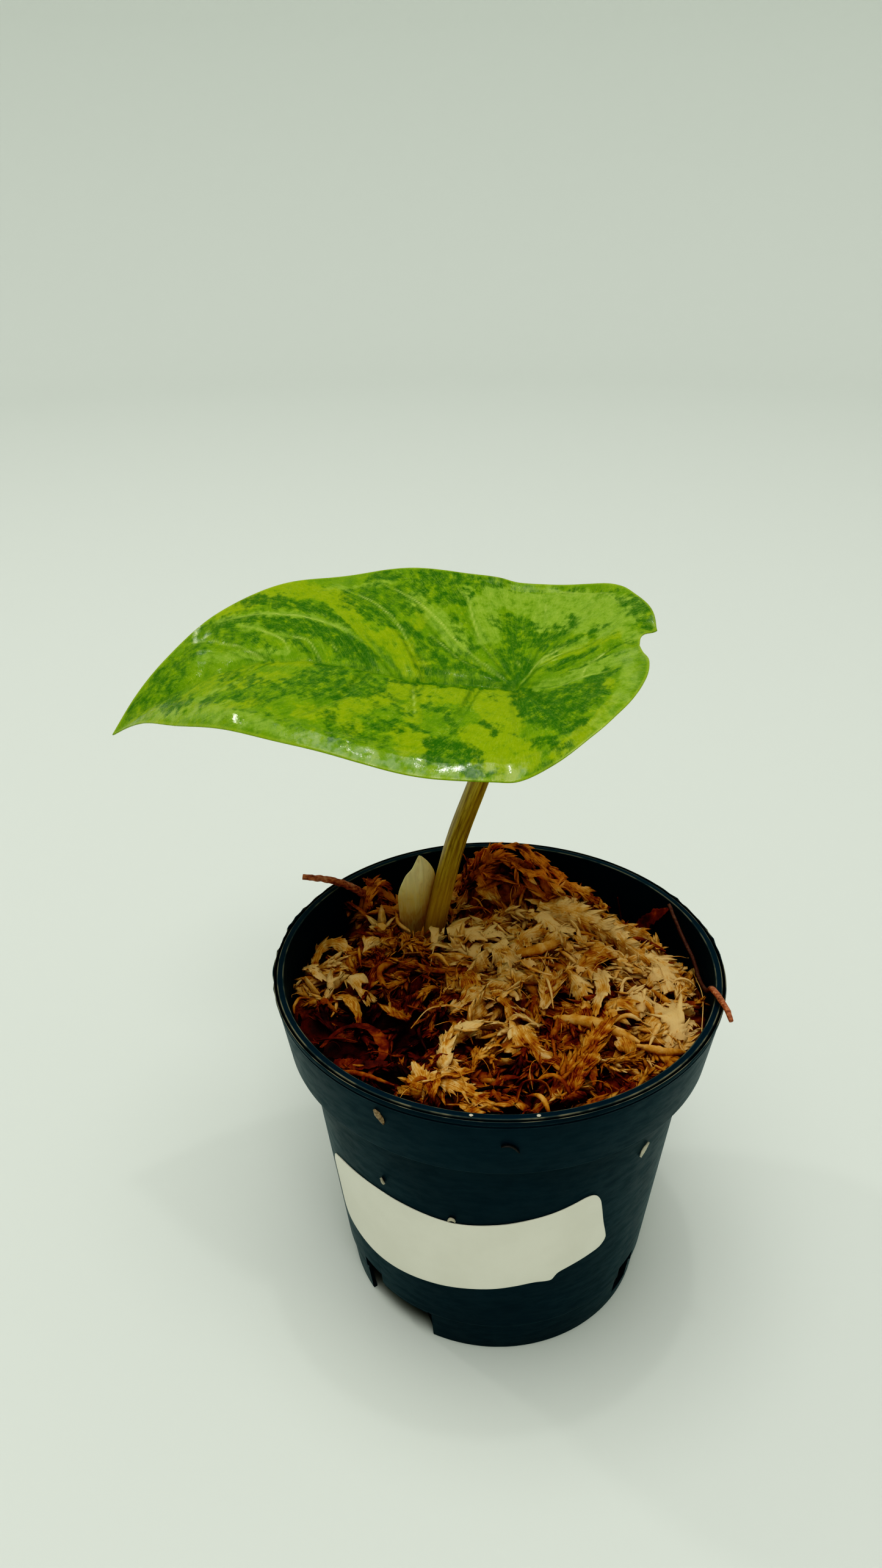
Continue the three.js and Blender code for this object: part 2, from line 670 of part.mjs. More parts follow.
const bed = new THREE.Group();
bed.add(named('moss_bed', buildMoss(), 'moss'));
bed.add(named('bark_twig_left', buildLeftTwig(), 'bark'));
bed.add(named('bark_strip_right', buildRightStrip(), 'bark'));

const plant = new THREE.Group();
plant.add(named('corm_and_roots', buildCorm(), 'corm'));
plant.add(named('petiole', buildStalk(), 'stalk'));
plant.add(named('sheath', buildSheath(), 'sheath'));
plant.add(named('leaf_blade', buildLeaf(), 'leaf'));

const pottedPlant = new THREE.Group();
pottedPlant.add(holder, bed, plant);

export default pottedPlant;
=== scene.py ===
import math

import bpy
import numpy as np
from mathutils import Matrix, Vector


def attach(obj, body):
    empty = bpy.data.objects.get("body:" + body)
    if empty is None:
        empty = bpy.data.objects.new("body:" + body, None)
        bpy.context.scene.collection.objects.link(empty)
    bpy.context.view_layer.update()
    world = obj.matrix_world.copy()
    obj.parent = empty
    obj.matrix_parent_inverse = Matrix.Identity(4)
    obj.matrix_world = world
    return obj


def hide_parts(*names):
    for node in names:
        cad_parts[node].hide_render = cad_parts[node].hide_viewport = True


# A young shield-leaved aroid with one variegated leaf, standing in long-fibred moss in a nursery
# pot. Sizes are in millimetres and MM turns them into metres. The origin is the middle of the
# pot's base, +Z is up, the leaf's tip points along -X and the front faces -Y.

MM = 0.001

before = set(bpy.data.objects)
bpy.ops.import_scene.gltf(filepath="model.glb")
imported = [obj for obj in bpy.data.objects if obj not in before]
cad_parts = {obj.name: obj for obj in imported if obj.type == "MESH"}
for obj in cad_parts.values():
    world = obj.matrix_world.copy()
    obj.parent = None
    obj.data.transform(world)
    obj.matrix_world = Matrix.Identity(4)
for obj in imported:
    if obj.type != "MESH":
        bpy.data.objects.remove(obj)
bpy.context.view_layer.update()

# Sizes of the pot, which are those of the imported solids

POT = {
    "height": 76.0,
    "lip_radius": 44.95,
    "lip_depth": 1.3,
    "mouth_radius": 42.6,
    "collar_top_radius": 44.4,
    "collar_bottom_radius": 42.4,
    "collar_bottom": 61.5,
    "shoulder_radius": 39.2,
    "waist_radius": 33.1,
    "foot_height": 8.1,
    "foot_radius": 31.7,
    "wall": 0.9,
    "floor_thickness": 1.2,
    "pad_radius": 8.0,
    "sides": 256,
}
RIM_GROOVE = (44.0, 44.7)
# Where the rim's edge has a fine flash: azimuth and spread, in degrees
RIM_FLASH = ((262, 22), (112, 14))
FLASH_DEPTH = 0.28
FOOT_NOTCHES = {"azimuths": (-38.5, 141.5), "half_width": 16.0, "low": -1.0, "high": 7.4}
CORNER_SLOTS = {"azimuths": (-49.0, 57.5, 131.0, 237.5), "half_width": 5.0, "low": 3.0, "high": 11.5}
CUTTER_REACH = 4.0
FLOOR_HOLES = {"count": 6, "ring": 19.0, "radius": 2.6, "turn": 0.7}
COLLAR_INNER = POT["collar_bottom_radius"] - POT["wall"]
LEDGE_TOP = POT["collar_bottom"] + POT["wall"]
FLOOR_TOP = POT["foot_height"] + POT["floor_thickness"]

# The sticker's outline on the pot's side, as (azimuth in degrees, height), and the line down its middle
LABEL_OUTLINE = ((-63.6, 28), (-63.6, 35.4), (-62.6, 38), (-60, 40), (-52, 42), (-40, 43), (-28, 42.7),
                 (-12, 41.8), (0.4, 42.6), (9, 43.6), (16.6, 44.6), (22.1, 45.6), (26.4, 46.5), (29, 46.6),
                 (31, 45.8), (32.6, 44), (33.6, 41.6), (35.8, 35.6), (37.8, 31), (37.8, 29.8),
                 (37.2, 28.9), (35.5, 27.9), (31.9, 27.2), (25.3, 25.9), (21.6, 25), (20.3, 24.1),
                 (19.6, 23.3), (18.2, 23), (13.2, 23.4), (7.5, 22.9), (0.8, 22.1), (-5.3, 21.5),
                 (-19.6, 20.3), (-37, 19.2), (-50, 19.5), (-58, 20.3), (-61.6, 21.6), (-63.3, 24))
LABEL_SPINE = ((-54, 29.5), (27, 35.5))
LABEL_THICKNESS = 0.16
LABEL_GAP = 0.1
LABEL_BACK_GAP = 0.04

# The leaf in its own plan: s runs from the stalk to the tip, t from the midrib to the far side

LEAF_JOINT = (2.9, 14.0, 129.58)
LEAF_MIDRIB = ((-26, 10.2), (-20, 7.6), (-14, 5.3), (-6, 2.2), (0, 0), (4, 0), (15, 0.5), (27, 2.8),
               (39, 4.6), (50, 3.9), (60, 0.6), (69, -4.2), (75, -8.4), (79.4, -11.7))
LEAF_FAR_SLOPE = ((-26, 0.14), (-20, 0.23), (-14, 0.24), (-6, 0.29), (4, 0.37), (15, 0.41), (27, 0.36),
                  (39, 0.3), (50, 0.38), (60, 0.5), (69, 0.62), (75, 0.8), (79.4, 0.9))
LEAF_NEAR_WIDTH = ((-26, 12), (-20, 17), (-14, 23), (-6, 27), (4, 29), (15, 29.5), (27, 28.5),
                   (39, 25.5), (50, 20.5), (60, 14), (69, 7.2), (75, 3.2), (79.4, 2))
LEAF_FAR_EDGE = ((79.4, 0), (75, 4), (69, 8.4), (60, 14.6), (50, 20.3), (39, 25.2), (27, 28.3),
                 (15, 29.4), (4, 28.9), (-4, 27.8), (-14, 24.6), (-20, 20.5), (-22.7, 16.8),
                 (-24.6, 13), (-25.6, 9), (-25.9, 5.8))
LEAF_NOTCH = ((-25.9, 5.8), (-24, 4.6), (-22.6, 2.6), (-22.1, 0))
LEAF_NEAR_EDGE = ((-22.1, 0), (-22.5, -3), (-23.2, -6), (-22.9, -9.5), (-21.9, -12.4), (-20, -15.6),
                  (-17.1, -19), (-12.9, -23), (-6, -27), (4, -28.3), (15, -28.7), (27, -27.9),
                  (39, -25.3), (50, -20.9), (60, -14.2), (69, -7.2), (75, -2.6), (79.4, 0))
LEAF_NEAR_DROOP = 0.165
LEAF_THICKNESS = 0.5
LEAF_COLUMNS = 620
LEAF_ROWS = 80
LEAF_UNDER_ROWS = 32

# Veins that dent the blade, as lines from the stalk or midrib to the margin
LEAF_VEINS = (
    ((0, 0), (5, 3), (12.4, 7.9), (16.1, 12.8), (19.6, 17.6), (24, 21.5), (36, 25)),
    ((17.1, 0), (22.1, 10), (26.2, 15.2), (30.3, 18.2), (41, 22.4)),
    ((22.8, 0), (27.7, 5.5), (32.3, 10.6), (36.2, 14)),
    ((27, 0), (32.2, 7.1), (37.8, 13.1), (48.3, 14.2), (60, 12.6)),
    ((37.8, 0), (41.4, 6), (50.8, 8.9), (56, 11)),
    ((47, 0), (52.2, 2.7), (57.2, 6.8), (66, 9.6)),
    ((18.2, 0), (19, -5), (18.7, -9.5), (17.5, -25)),
    ((28.4, 0), (31.7, -12), (37.4, -18), (44, -21)),
    ((47, 0), (52, -4.6), (56, -8.1), (61, -11)),
    ((7.4, 0), (9.9, -9.6), (12.3, -17.7), (15.7, -25)),
    ((0, 0), (0.4, -8.9), (-1.2, -24)),
    ((0, 0), (-3, 3.5), (-7.3, 5.4), (-13.3, 5.9), (-18.3, 8.9), (-22, 14)),
    ((0, 0), (-4.2, 6.7), (-7.3, 9.8), (-11.3, 13.1), (-16, 20)),
    ((0, 0), (-3.6, 8.8), (-4.6, 15.6), (-4.6, 26)),
    ((0, 0), (-5.6, -3.7), (-11.2, -4.6), (-19, -8)),
    ((0, 0), (-5.5, -12.3), (-9.5, -19.9), (-11, -24)),
    ((0, 0), (5.8, 9.3), (9.6, 17), (10.4, 26)),
)

# Short creases of the back lobe, where the two halves of the shield meet; they dent the blade and carry
# painted shade
BACK_CREASES = (
    ((-4, 1.2), (-6, 2), (-10, 2.6), (-15, 2.9)),
    ((-8, -0.7), (-12.5, -0.9), (-15, 0.5), (-17, 1.7), (-20.5, 2)),
    ((-5, 0.6), (-8, 1.0), (-11, 1.5)),
)

# Dark green areas: (strength, half width, line). Strength under 1 leaves the area broken up.
# Most are the leaf's own dark marbling; those marked below are painted shade beside a vein, in the back
# lobe's grooves and creases, and inside the far margin's fold.
DARK_AREAS = (
    (1, 1.5, ((56, 16.8), (52, 17.1), (47, 16), (42, 15.4), (38.5, 15.2))),
    # Painted shade beside a vein
    (0.9, 0.8, ((38.5, 15.4), (36.2, 13), (33.2, 10.3))),
    (1, 1.2, ((59.5, 12), (55, 11.9), (50, 11.5), (45, 10.2))),
    (1, 2, ((46.5, 10), (41, 9.6), (36, 7.4), (32.6, 4.6), (28, 3))),
    (1.1, 2.6, ((34.5, 6), (31.6, 4.1))),
    (0.35, 2.4, ((63, 10.3), (58, 9.4), (54, 7.4))),
    (0.45, 2, ((71, 4), (66, 6.3), (62, 8))),
    (0.3, 2, ((75, 2), (70, 1.6), (66, 2.6))),
    (0.4, 1.2, ((52, 7.2), (48.5, 4.9), (47.2, 2.4))),
    (0.5, 1.3, ((44, 6.4), (42.6, 5.3), (41, 3.4))),
    (0.85, 2.2, ((67, -1.6), (66, -4), (64.2, -6.2))),
    (0.6, 1.4, ((63.6, -6.8), (61, -8.8))),
    (0.55, 1.4, ((54.6, -1.6), (53.2, -3.4), (55, -4.4))),
    (0.8, 1.3, ((57.4, -10), (56, -11.2))),
    (0.75, 1.1, ((53, -11.8), (49.4, -12.8))),
    (0.35, 3.2, ((50, -8), (46, -13), (42.5, -11))),
    (0.8, 1.4, ((40.2, -5.2), (38.6, -9))),
    (1, 1.5, ((37, -1.6), (35.2, -3.2), (35, -4.4))),
    (0.9, 1.3, ((33, -1.4), (32.4, -3.6))),
    (0.6, 1.5, ((29.2, -1.2), (27.6, -3.8))),
    (0.62, 3.1, ((39, -7.4), (35, -8.2), (31, -8.4), (27.4, -7.6))),
    (0.65, 2, ((37.4, -12.2), (33, -11), (28, -9))),
    (1, 0.9, ((24, -3.4), (21.4, -2.4), (18.8, -0.9), (16, -0.4), (8, -0.7), (2, -0.5))),
    (0.9, 1.3, ((33.6, -18), (32.8, -19.2))),
    (0.6, 0.7, ((32.4, -15), (31.6, -15.8))),
    (0.55, 1, ((27.2, -15.6), (26, -17.2))),
    (0.6, 1.7, ((24, -18.6), (22, -18.2), (21, -17))),
    (0.6, 1.2, ((23.4, -9), (22, -10.6))),
    (0.5, 1, ((21.8, -12), (20.4, -13.4))),
    (0.8, 1, ((18.8, -17), (17, -18))),
    (0.4, 0.9, ((25.6, -12.2), (24, -13.4))),
    (0.3, 3, ((31, -22.4), (25, -21.6))),
    (0.65, 1.5, ((16.4, -9.8), (13.4, -10.4))),
    (0.6, 1.4, ((12.4, -13.4), (11, -17))),
    (0.5, 1.2, ((18, -5.4), (17, -6.6))),
    (1.15, 1.9, ((14.2, -20.6), (14.4, -24.4))),
    (0.6, 1.4, ((12.4, -22), (12, -25))),
    (1, 2.2, ((10.4, -21.8), (8.8, -23.4), (8, -26.4))),
    (0.6, 0.7, ((8, -27), (3.6, -27.2))),
    (0.6, 3.2, ((33, 19.2), (30, 17.2), (27.6, 15.4))),
    (0.9, 1, ((29.4, 16.8), (27.8, 14.6))),
    (0.7, 1.3, ((26, 14), (25, 12.4))),
    (0.7, 1.6, ((30, 26), (24.5, 26))),
    (0.45, 2.6, ((29, 22.5), (24, 20.5), (22, 18))),
    (0.6, 2.6, ((22, 22.6), (16, 22.4), (11.8, 22.6))),
    (0.65, 2.2, ((20, 26.4), (13, 27.2), (5, 28))),
    (0.6, 1.2, ((23, 18), (22.6, 21))),
    (1, 1.1, ((22.2, 12.8), (20.2, 11), (17.6, 7.6), (15, 5), (11, 3))),
    (1, 1, ((16.2, 10), (13, 7.6), (10, 5), (6, 2.6), (2, 1))),
    (0.5, 2.2, ((18, 3.4), (13, 3), (7, 1.4), (2, 0.6))),
    (0.6, 0.5, ((38, 0.7), (33, 0.9), (27, 0.4))),
    (0.5, 1.4, ((13, 17), (11.4, 12), (9, 8.4))),
    (0.75, 2, ((1, 17.6), (-2, 15), (-3.4, 11))),
    (0.95, 1.6, ((1.6, 13), (0.4, 8), (-0.8, 3))),
    (0.6, 1.3, ((4.8, 17.2), (2.6, 14.8))),
    (0.7, 1.4, ((3.4, 8.6), (1.8, 5), (0.8, 2))),
    # Painted shade in grooves of the back lobe
    (1, 0.9, ((-4.6, 8.6), (-8, 11.8), (-11.2, 14.8))),
    (0.7, 1.6, ((-4.6, 11), (-7.4, 12.6), (-9.6, 12.6))),
    (1.2, 0.6, ((-6, 6.4), (-10, 7.8), (-13.6, 8.5), (-16.4, 9.3))),
    # Painted shade along the back lobe's creases
    (1, 0.6, ((-6, 2.3), (-10, 2.6), (-14.6, 2.9))),
    (0.7, 0.5, ((-5, 1.3), (-10.4, 1.6))),
    (1.1, 0.4, ((-8.6, -0.8), (-12.5, -0.9), (-17.4, -0.2))),
    (1, 0.4, ((-16.4, 1.6), (-20, 2.1), (-21.4, 0.4))),
    (0.85, 2, ((-21.4, 15), (-23, 11), (-24.4, 7.4))),
    (1, 2.1, ((-0.4, -3), (-1.5, -8), (-3, -12), (-5.4, -16))),
    (1, 1.7, ((-3.6, -7.2), (-8, -8), (-12.4, -8.8), (-15.6, -6.4))),
    (0.95, 2.5, ((-6.6, -11.6), (-10.6, -14.6), (-13.4, -12))),
    (0.9, 1.6, ((-6.4, -16), (-8, -19), (-10.6, -19.4))),
    (0.85, 1.2, ((-3.2, -20.4), (-5.8, -22), (-7.2, -23.8))),
    (0.7, 0.7, ((-3.6, -26.3), (-8.6, -25.8))),
    (1, 1, ((6, -13.8), (5, -15.2), (3.8, -16.6))),
    (1, 0.35, ((1, -16.8), (0, -18.2))),
    (0.5, 0.8, ((5, -4), (4, -6.4))),
    # Painted shade of the fold inside the far margin
    (0.9, 0.3, ((6, 28), (-3, 26.6), (-9, 24.9), (-14, 22.8), (-18, 19.8), (-19.8, 16))),
    (0.5, 0.5, ((51, -16.6), (46, -18.2), (41, -20.6), (36, -23.4))),
)

# Lime and yellow-green areas
LIME_AREAS = (
    (1, 2.2, ((57, 15.6), (49, 19.6), (42, 20.6), (36.4, 19.4), (33.4, 14.6))),
    (0.9, 1.6, ((44, 19), (38, 20), (34, 16))),
    (0.8, 1.6, ((33.4, 13.4), (30, 10), (28.6, 8))),
    (0.9, 2.6, ((25, 8.6), (22.4, 5.6), (19.4, 3))),
    (0.9, 1.2, ((59, 14.6), (55, 14.4))),
    (0.5, 2, ((73, -1.6), (66, -8), (58, -3), (50, -2))),
    (0.8, 1.5, ((46, -1.2), (39, -1.4))),
    (0.5, 2.4, ((56, -6.2), (50, -7.2), (44, -7))),
    (0.5, 1.6, ((62, -10), (52, -15), (47, -15.2))),
    (0.9, 3.4, ((21, -5.4), (14, -4.6), (8, -4.2), (2.6, -3.6))),
    (0.7, 2.2, ((30.5, -14.4), (27, -12.6), (24.4, -9.6), (22, -6.6))),
    (0.7, 2, ((38, -18), (30, -17.6), (29, -21))),
    (0.85, 2.2, ((20, -20), (16.6, -21.4), (19.4, -23.4))),
    (0.6, 1.8, ((19, -11), (18.6, -14.6))),
    (1.1, 3.6, ((4.6, -7), (3, -12), (3.6, -19), (2, -24))),
    (1.1, 2.2, ((8, -17), (7, -20), (5.4, -24.4))),
    (1, 2, ((0, -20.6), (-2, -24.6))),
    (0.9, 1.6, ((-12, -20.8), (-10, -22.8), (-6.6, -24.8))),
    (0.9, 1.5, ((-13.6, -9.8), (-16, -10))),
    (0.6, 1.4, ((-16.4, -15.4), (-13.6, -19.4))),
    (0.5, 1.4, ((20, 19), (18.4, 15), (20, 13))),
    (0.5, 1.6, ((-5, 5), (-9, 4.6), (-14, 5.4), (-18.4, 5.4))),
)

# Whitish green areas
PALE_AREAS = (
    (0.75, 1, ((59, 12.6), (50, 13.1), (44, 12.9), (40, 12.4), (36, 11.2), (33, 9.6))),
    (0.75, 1.1, ((61, 5), (56, 3.4), (50, 2), (44, 2.6))),
    (0.5, 1, ((54.4, 10.6), (50, 8.8), (45, 6.4))),
    (0.8, 0.8, ((60, -8.6), (56, -8), (52.4, -7.2))),
    (0.8, 0.6, ((55, -13.6), (52, -13.6))),
    (0.6, 1.3, ((68, -6), (60, -11.6), (52, -17), (46, -20.4), (40, -23.4))),
    (0.75, 2, ((20.6, 20.2), (17.6, 17.4), (14.4, 13.6), (11, 9.6))),
    (0.6, 1.5, ((16, 16), (12.6, 13.6), (10.4, 11))),
    (0.8, 1.3, ((10.4, 24.2), (9, 21), (8.4, 17), (7.4, 11.4))),
    (0.75, 2.4, ((8, 21), (6, 17), (6, 12.6))),
    (0.8, 3, ((5, 23.4), (0, 24.4), (-3, 21.6))),
    (0.9, 5, ((-8, 17.6), (-13.6, 15), (-18, 12))),
    (0.8, 2.6, ((-6, 24), (-12, 21))),
    (0.85, 1.1, ((-3.4, 4.6), (-7, 6.2), (-12, 6.6))),
    (0.7, 1.6, ((-16, 7), (-20, 7), (-21, 3))),
    (0.85, 2.4, ((-12.4, -2.2), (-15.4, -2.8), (-19.4, -2.4))),
    (0.8, 1.6, ((-4, -3.2), (-8, -3.4), (-12, -4.6))),
    (0.7, 1.6, ((-19.4, -6.8), (-19.4, -11), (-17.6, -15.4))),
    (0.5, 1.4, ((-16, -17.6), (-13.6, -21))),
    (0.7, 0.5, ((14.4, -1.6), (13.6, -2.4))),
    (0.5, 1, ((26, 24.4), (33, 22.6), (38, 21.6))),
)

# Thin pale lines along the veins: (strength, line)
PALE_LINES = (
    (0.9, ((58.6, 12.6), (50, 13), (44, 12.6), (39, 11.8), (33, 9.4), (30, 7))),
    (0.9, ((55, 10.8), (50.6, 9), (47, 7), (45, 5.4), (43.4, 2.4))),
    (1, ((44.6, 7), (41, 6.2), (39.6, 4.6), (37.4, 0.8))),
    (0.8, ((66, 9.6), (60, 8.6), (56.2, 6.4), (53, 4.6), (50, 2.2), (47.6, 0.4))),
    (0.7, ((36, 5.6), (34.4, 3.2))),
    (1, ((27.6, 23.6), (24, 22), (21, 20.2), (18, 17.8), (15, 14.4), (12, 10.4), (8, 6.4), (3, 2))),
    (0.9, ((36, 22), (32, 20.2), (28, 17.6), (25, 14.8), (22.6, 11.4), (20.4, 7))),
    (0.7, ((17.6, 11.6), (15, 9.6), (12, 6.6), (8, 4))),
    (0.6, ((12.4, 24.6), (10.2, 22.4), (9, 17), (7.4, 11), (4.6, 6.6))),
    (0.8, ((19.6, -3), (19, -9), (18.4, -14))),
    (1.1, ((-0.4, 0.6), (-2.8, 3.8), (-5, 5.6), (-9, 6.8))),
    (0.9, ((-3.6, 4.4), (-7, 5.2), (-12, 5.2))),
    (0.7, ((-4, 3.4), (-8, 3.9))),
    (0.8, ((-5, -5), (-9, -5.5), (-13, -5), (-17, -5.8))),
    (0.8, ((-12.8, -1), (-12, -3), (-11.4, -5))),
    (0.9, ((-13, -0.6), (-15, 0.7), (-16.6, 1.6))),
    (0.6, ((-5.6, 18.6), (-5.2, 22))),
    (0.5, ((5, 28.2), (-4, 26.6), (-10, 24.2), (-17, 19.8), (-19.4, 15))),
    (0.6, ((-0.6, 4.6), (0.4, 6.4))),
    (0.5, ((-19.6, -18), (-16, -20.4), (-11, -24.2))),
)

# The stalk, its sheath and the bark pieces lie along the solids' lines. The sheath is wider, the bark
# is thinner, and the stalk's top runs on into the blade.

STALK_PATH = ((-14.2, 19.4, 46), (-14.6, 20.4, 57), (-14, 21, 68), (-9.6, 18.7, 90), (-4.9, 15.9, 106.3),
              (0.2, 14.4, 121.5), (2.9, 14, 128.4), (3.9, 13.9, 131))
STALK_RADII = (2.5, 1.8)
STALK_LENGTH = 88
# How far below the blade's upper face the stalk's top lies, inside the blade
STALK_SUNK = 0.35
STALK_CAP_SUNK = 2.5
# What the moss keeps clear of: x, y and room of the stalk and of its sheath
STALK_FOOT = ((-14.2, 20.6, 3.9), (-18.8, 20, 3))
SHEATH = (
    ((-18.8, 20.4, 65), 2.2, 0.3), ((-18.4, 20, 69.5), 2.9, 0.8), ((-18, 19.3, 74), 3.4, 1.1),
    ((-17.5, 18.8, 78.5), 3.8, 1.2), ((-16.6, 18.6, 82.5), 3.3, 1), ((-16.3, 18.6, 85.5), 1.9, 0.5),
    ((-16.7, 18.5, 88.2), 0.35, 0),
)
SHEATH_TURN = 0.3
LEFT_TWIG = ((-25, 28, 66.5), (-30.7, 25.4, 74.2), (-36.4, 24.3, 77.7), (-43, 24.5, 78.4))
LEFT_TWIG_RADII = (0.75, 0.9, 0.8, 0.62)
RIGHT_STRIP = ((36.2, 20.2, 76.2), (38.4, 13.4, 73), (40.2, 8.2, 71), (40.6, 2, 70.8), (40.9, -4.5, 73),
               (40.9, -9, 77), (41.6, -12, 77.6), (42.6, -15.5, 77.5), (43.1, -18.2, 76.9))
RIGHT_STRIP_RADII = (0.4, 0.42, 0.4, 0.4, 0.4, 0.45, 0.55, 0.6, 0.45)

# The moss bed's top: its height in the middle and round the wall, its tufts and its hollows
MOSS_MIDDLE = 71.2
MOSS_EDGE = ((-180, 65.5), (-150, 63.8), (-105, 65.5), (-60, 69.2), (-20, 72), (30, 71.8), (75, 69.5),
             (110, 66), (140, 63.8), (180, 65.5))
MOSS_TUFTS = (
    ((-2, 32.5), (6, 4.6), 8.8), ((7, 32), (6.4, 4.4), 7.6), ((20, 30.5), (5, 4), 2.2),
    ((-26.5, 26.5), (4.2, 4.2), 8.5), ((-24, -10), (8, 9), -2.6), ((-14, 20), (7, 6), -3),
    ((8, 2), (12, 10), 1.6), ((-2, -26), (9, 6), 1.2), ((28, -12), (8, 8), 1),
)

# How light the moss is from place to place: (x, y), reach, tone from 0 (black brown) to 1 (cream)
MOSS_TONES = (
    # The tones of the back clumps and of the left clump at (-27, 25) are raised partly as painted light,
    # where the leaf and the sheath shade them
    ((-4, 31), 6, 0.74), ((4, 30), 6, 0.74), ((13, 29), 5, 0.74), ((21, 28), 4, 0.48),
    ((-27, 25), 5, 0.6), ((-24, -14), 8, 0.12), ((-17, -24), 6, 0.14), ((-29, -20), 5, 0.17),
    ((-38, 5), 3.2, 0.9), ((-40, -3), 3, 0.78), ((-31, -3), 3.2, 0.86), ((-33, 14), 5, 0.52),
    ((-25, 8), 5, 0.48), ((-14, 11), 4, 0.56), ((-5, 9), 6, 0.9), ((3, 0), 6, 0.82),
    ((-20, -3), 6, 0.34), ((-3, -10), 5, 0.66), ((-36, -13), 4, 0.3), ((-12, -15), 4, 0.32),
    ((13, 17), 6, 0.86), ((18, -9), 4, 0.4), ((21, 5), 5, 0.84), ((32, 0), 6, 0.94),
    ((29, 12), 6, 0.86), ((36, -13), 6, 0.84), ((-4, -22), 5, 0.58), ((-8, -34), 5, 0.48),
    ((4, -31), 4, 0.33), ((6, -36), 4, 0.31), ((16, -28), 4, 0.44), ((25, -25), 6, 0.62),
    ((9, -22), 4, 0.46), ((20, -4), 3, 0.86), ((39, -8), 2, 0.46), ((-11, 28), 4, 0.7),
    ((8, 9), 4, 0.82), ((0, 21), 5, 0.7),
)
PLAIN_TONE = 0.55

# The tall rusty clumps at the back, where strands add no height: middle and reach
TALL_CLUMPS = (((4, 31), (15, 6)), ((-26.5, 26.5), (6, 6)))

# Where the moss is rusty and painted lighter, as painted light where the leaf shades it: middle, reach and
# how much
RUST_AND_LIGHT_CLUMPS = (((4, 31), (16, 6.5), 0.85), ((-26.5, 26), (6, 6), 0.5))

# Room between the moss bed and the pot, and between the strands and the pot's mouth
BED_ROOM = 0.35
MOUTH_ROOM = 0.6
STRAND_STEP = 0.8
SHOWN_STEPS = 22
HAIR_WIDTH = 0.2
MOSS_SEED = 41

# Loose strands, drawn at random all over the bed: how many, their lengths, their widths, how high they
# start above the bed, how far they arch and how far their leaves lean out
LOOSE_STRANDS = {
    "moss_low_pulp": (95, (8, 16), (2.4, 4.2), (-1.8, -0.3), 1.6, 0),
    "moss_high_pulp": (85, (6, 15), (2, 4.2), (-0.2, 1.5), 2.6, 0),
    "moss_deep_strands": (100, (7, 14), (1.1, 1.8), (-2.4, -1), 1, 0.05),
    "moss_under_strands": (80, (7, 14), (0.9, 1.6), (-1.4, 0.4), 1.6, 0.1),
    "moss_top_strands": (45, (5, 10), (0.7, 1.3), (-0.4, 1.2), 2, 0.12),
    "moss_fine_tips": (120, (2.4, 5), (0.4, 0.8), (0.2, 2), 1.2, 0.35),
    "stems": (70, (5, 12), (0.16, 0.5), (0.8, 2.4), 2, 0),
    "hairs": (90, (4, 11), (0.05, 0.09), (1.6, 3), 3, 0),
    "shreds": (36, (3, 7), (1, 2), (0.4, 2.4), 2, 0),
}

# The pieces of leafy strands: how far apart their leaves stand and how thick the core is beside them
LEAFY_PIECES = {
    "moss_deep_strands": (0.22, 0.7),
    "moss_under_strands": (0.22, 0.8),
    "moss_top_strands": (0.18, 0.62),
    "moss_shown_strands": (0.13, 0.78),
    "moss_fine_tips": (0.2, 0.5),
    "moss_pulp_fringe": (0.5, 0.4),
}

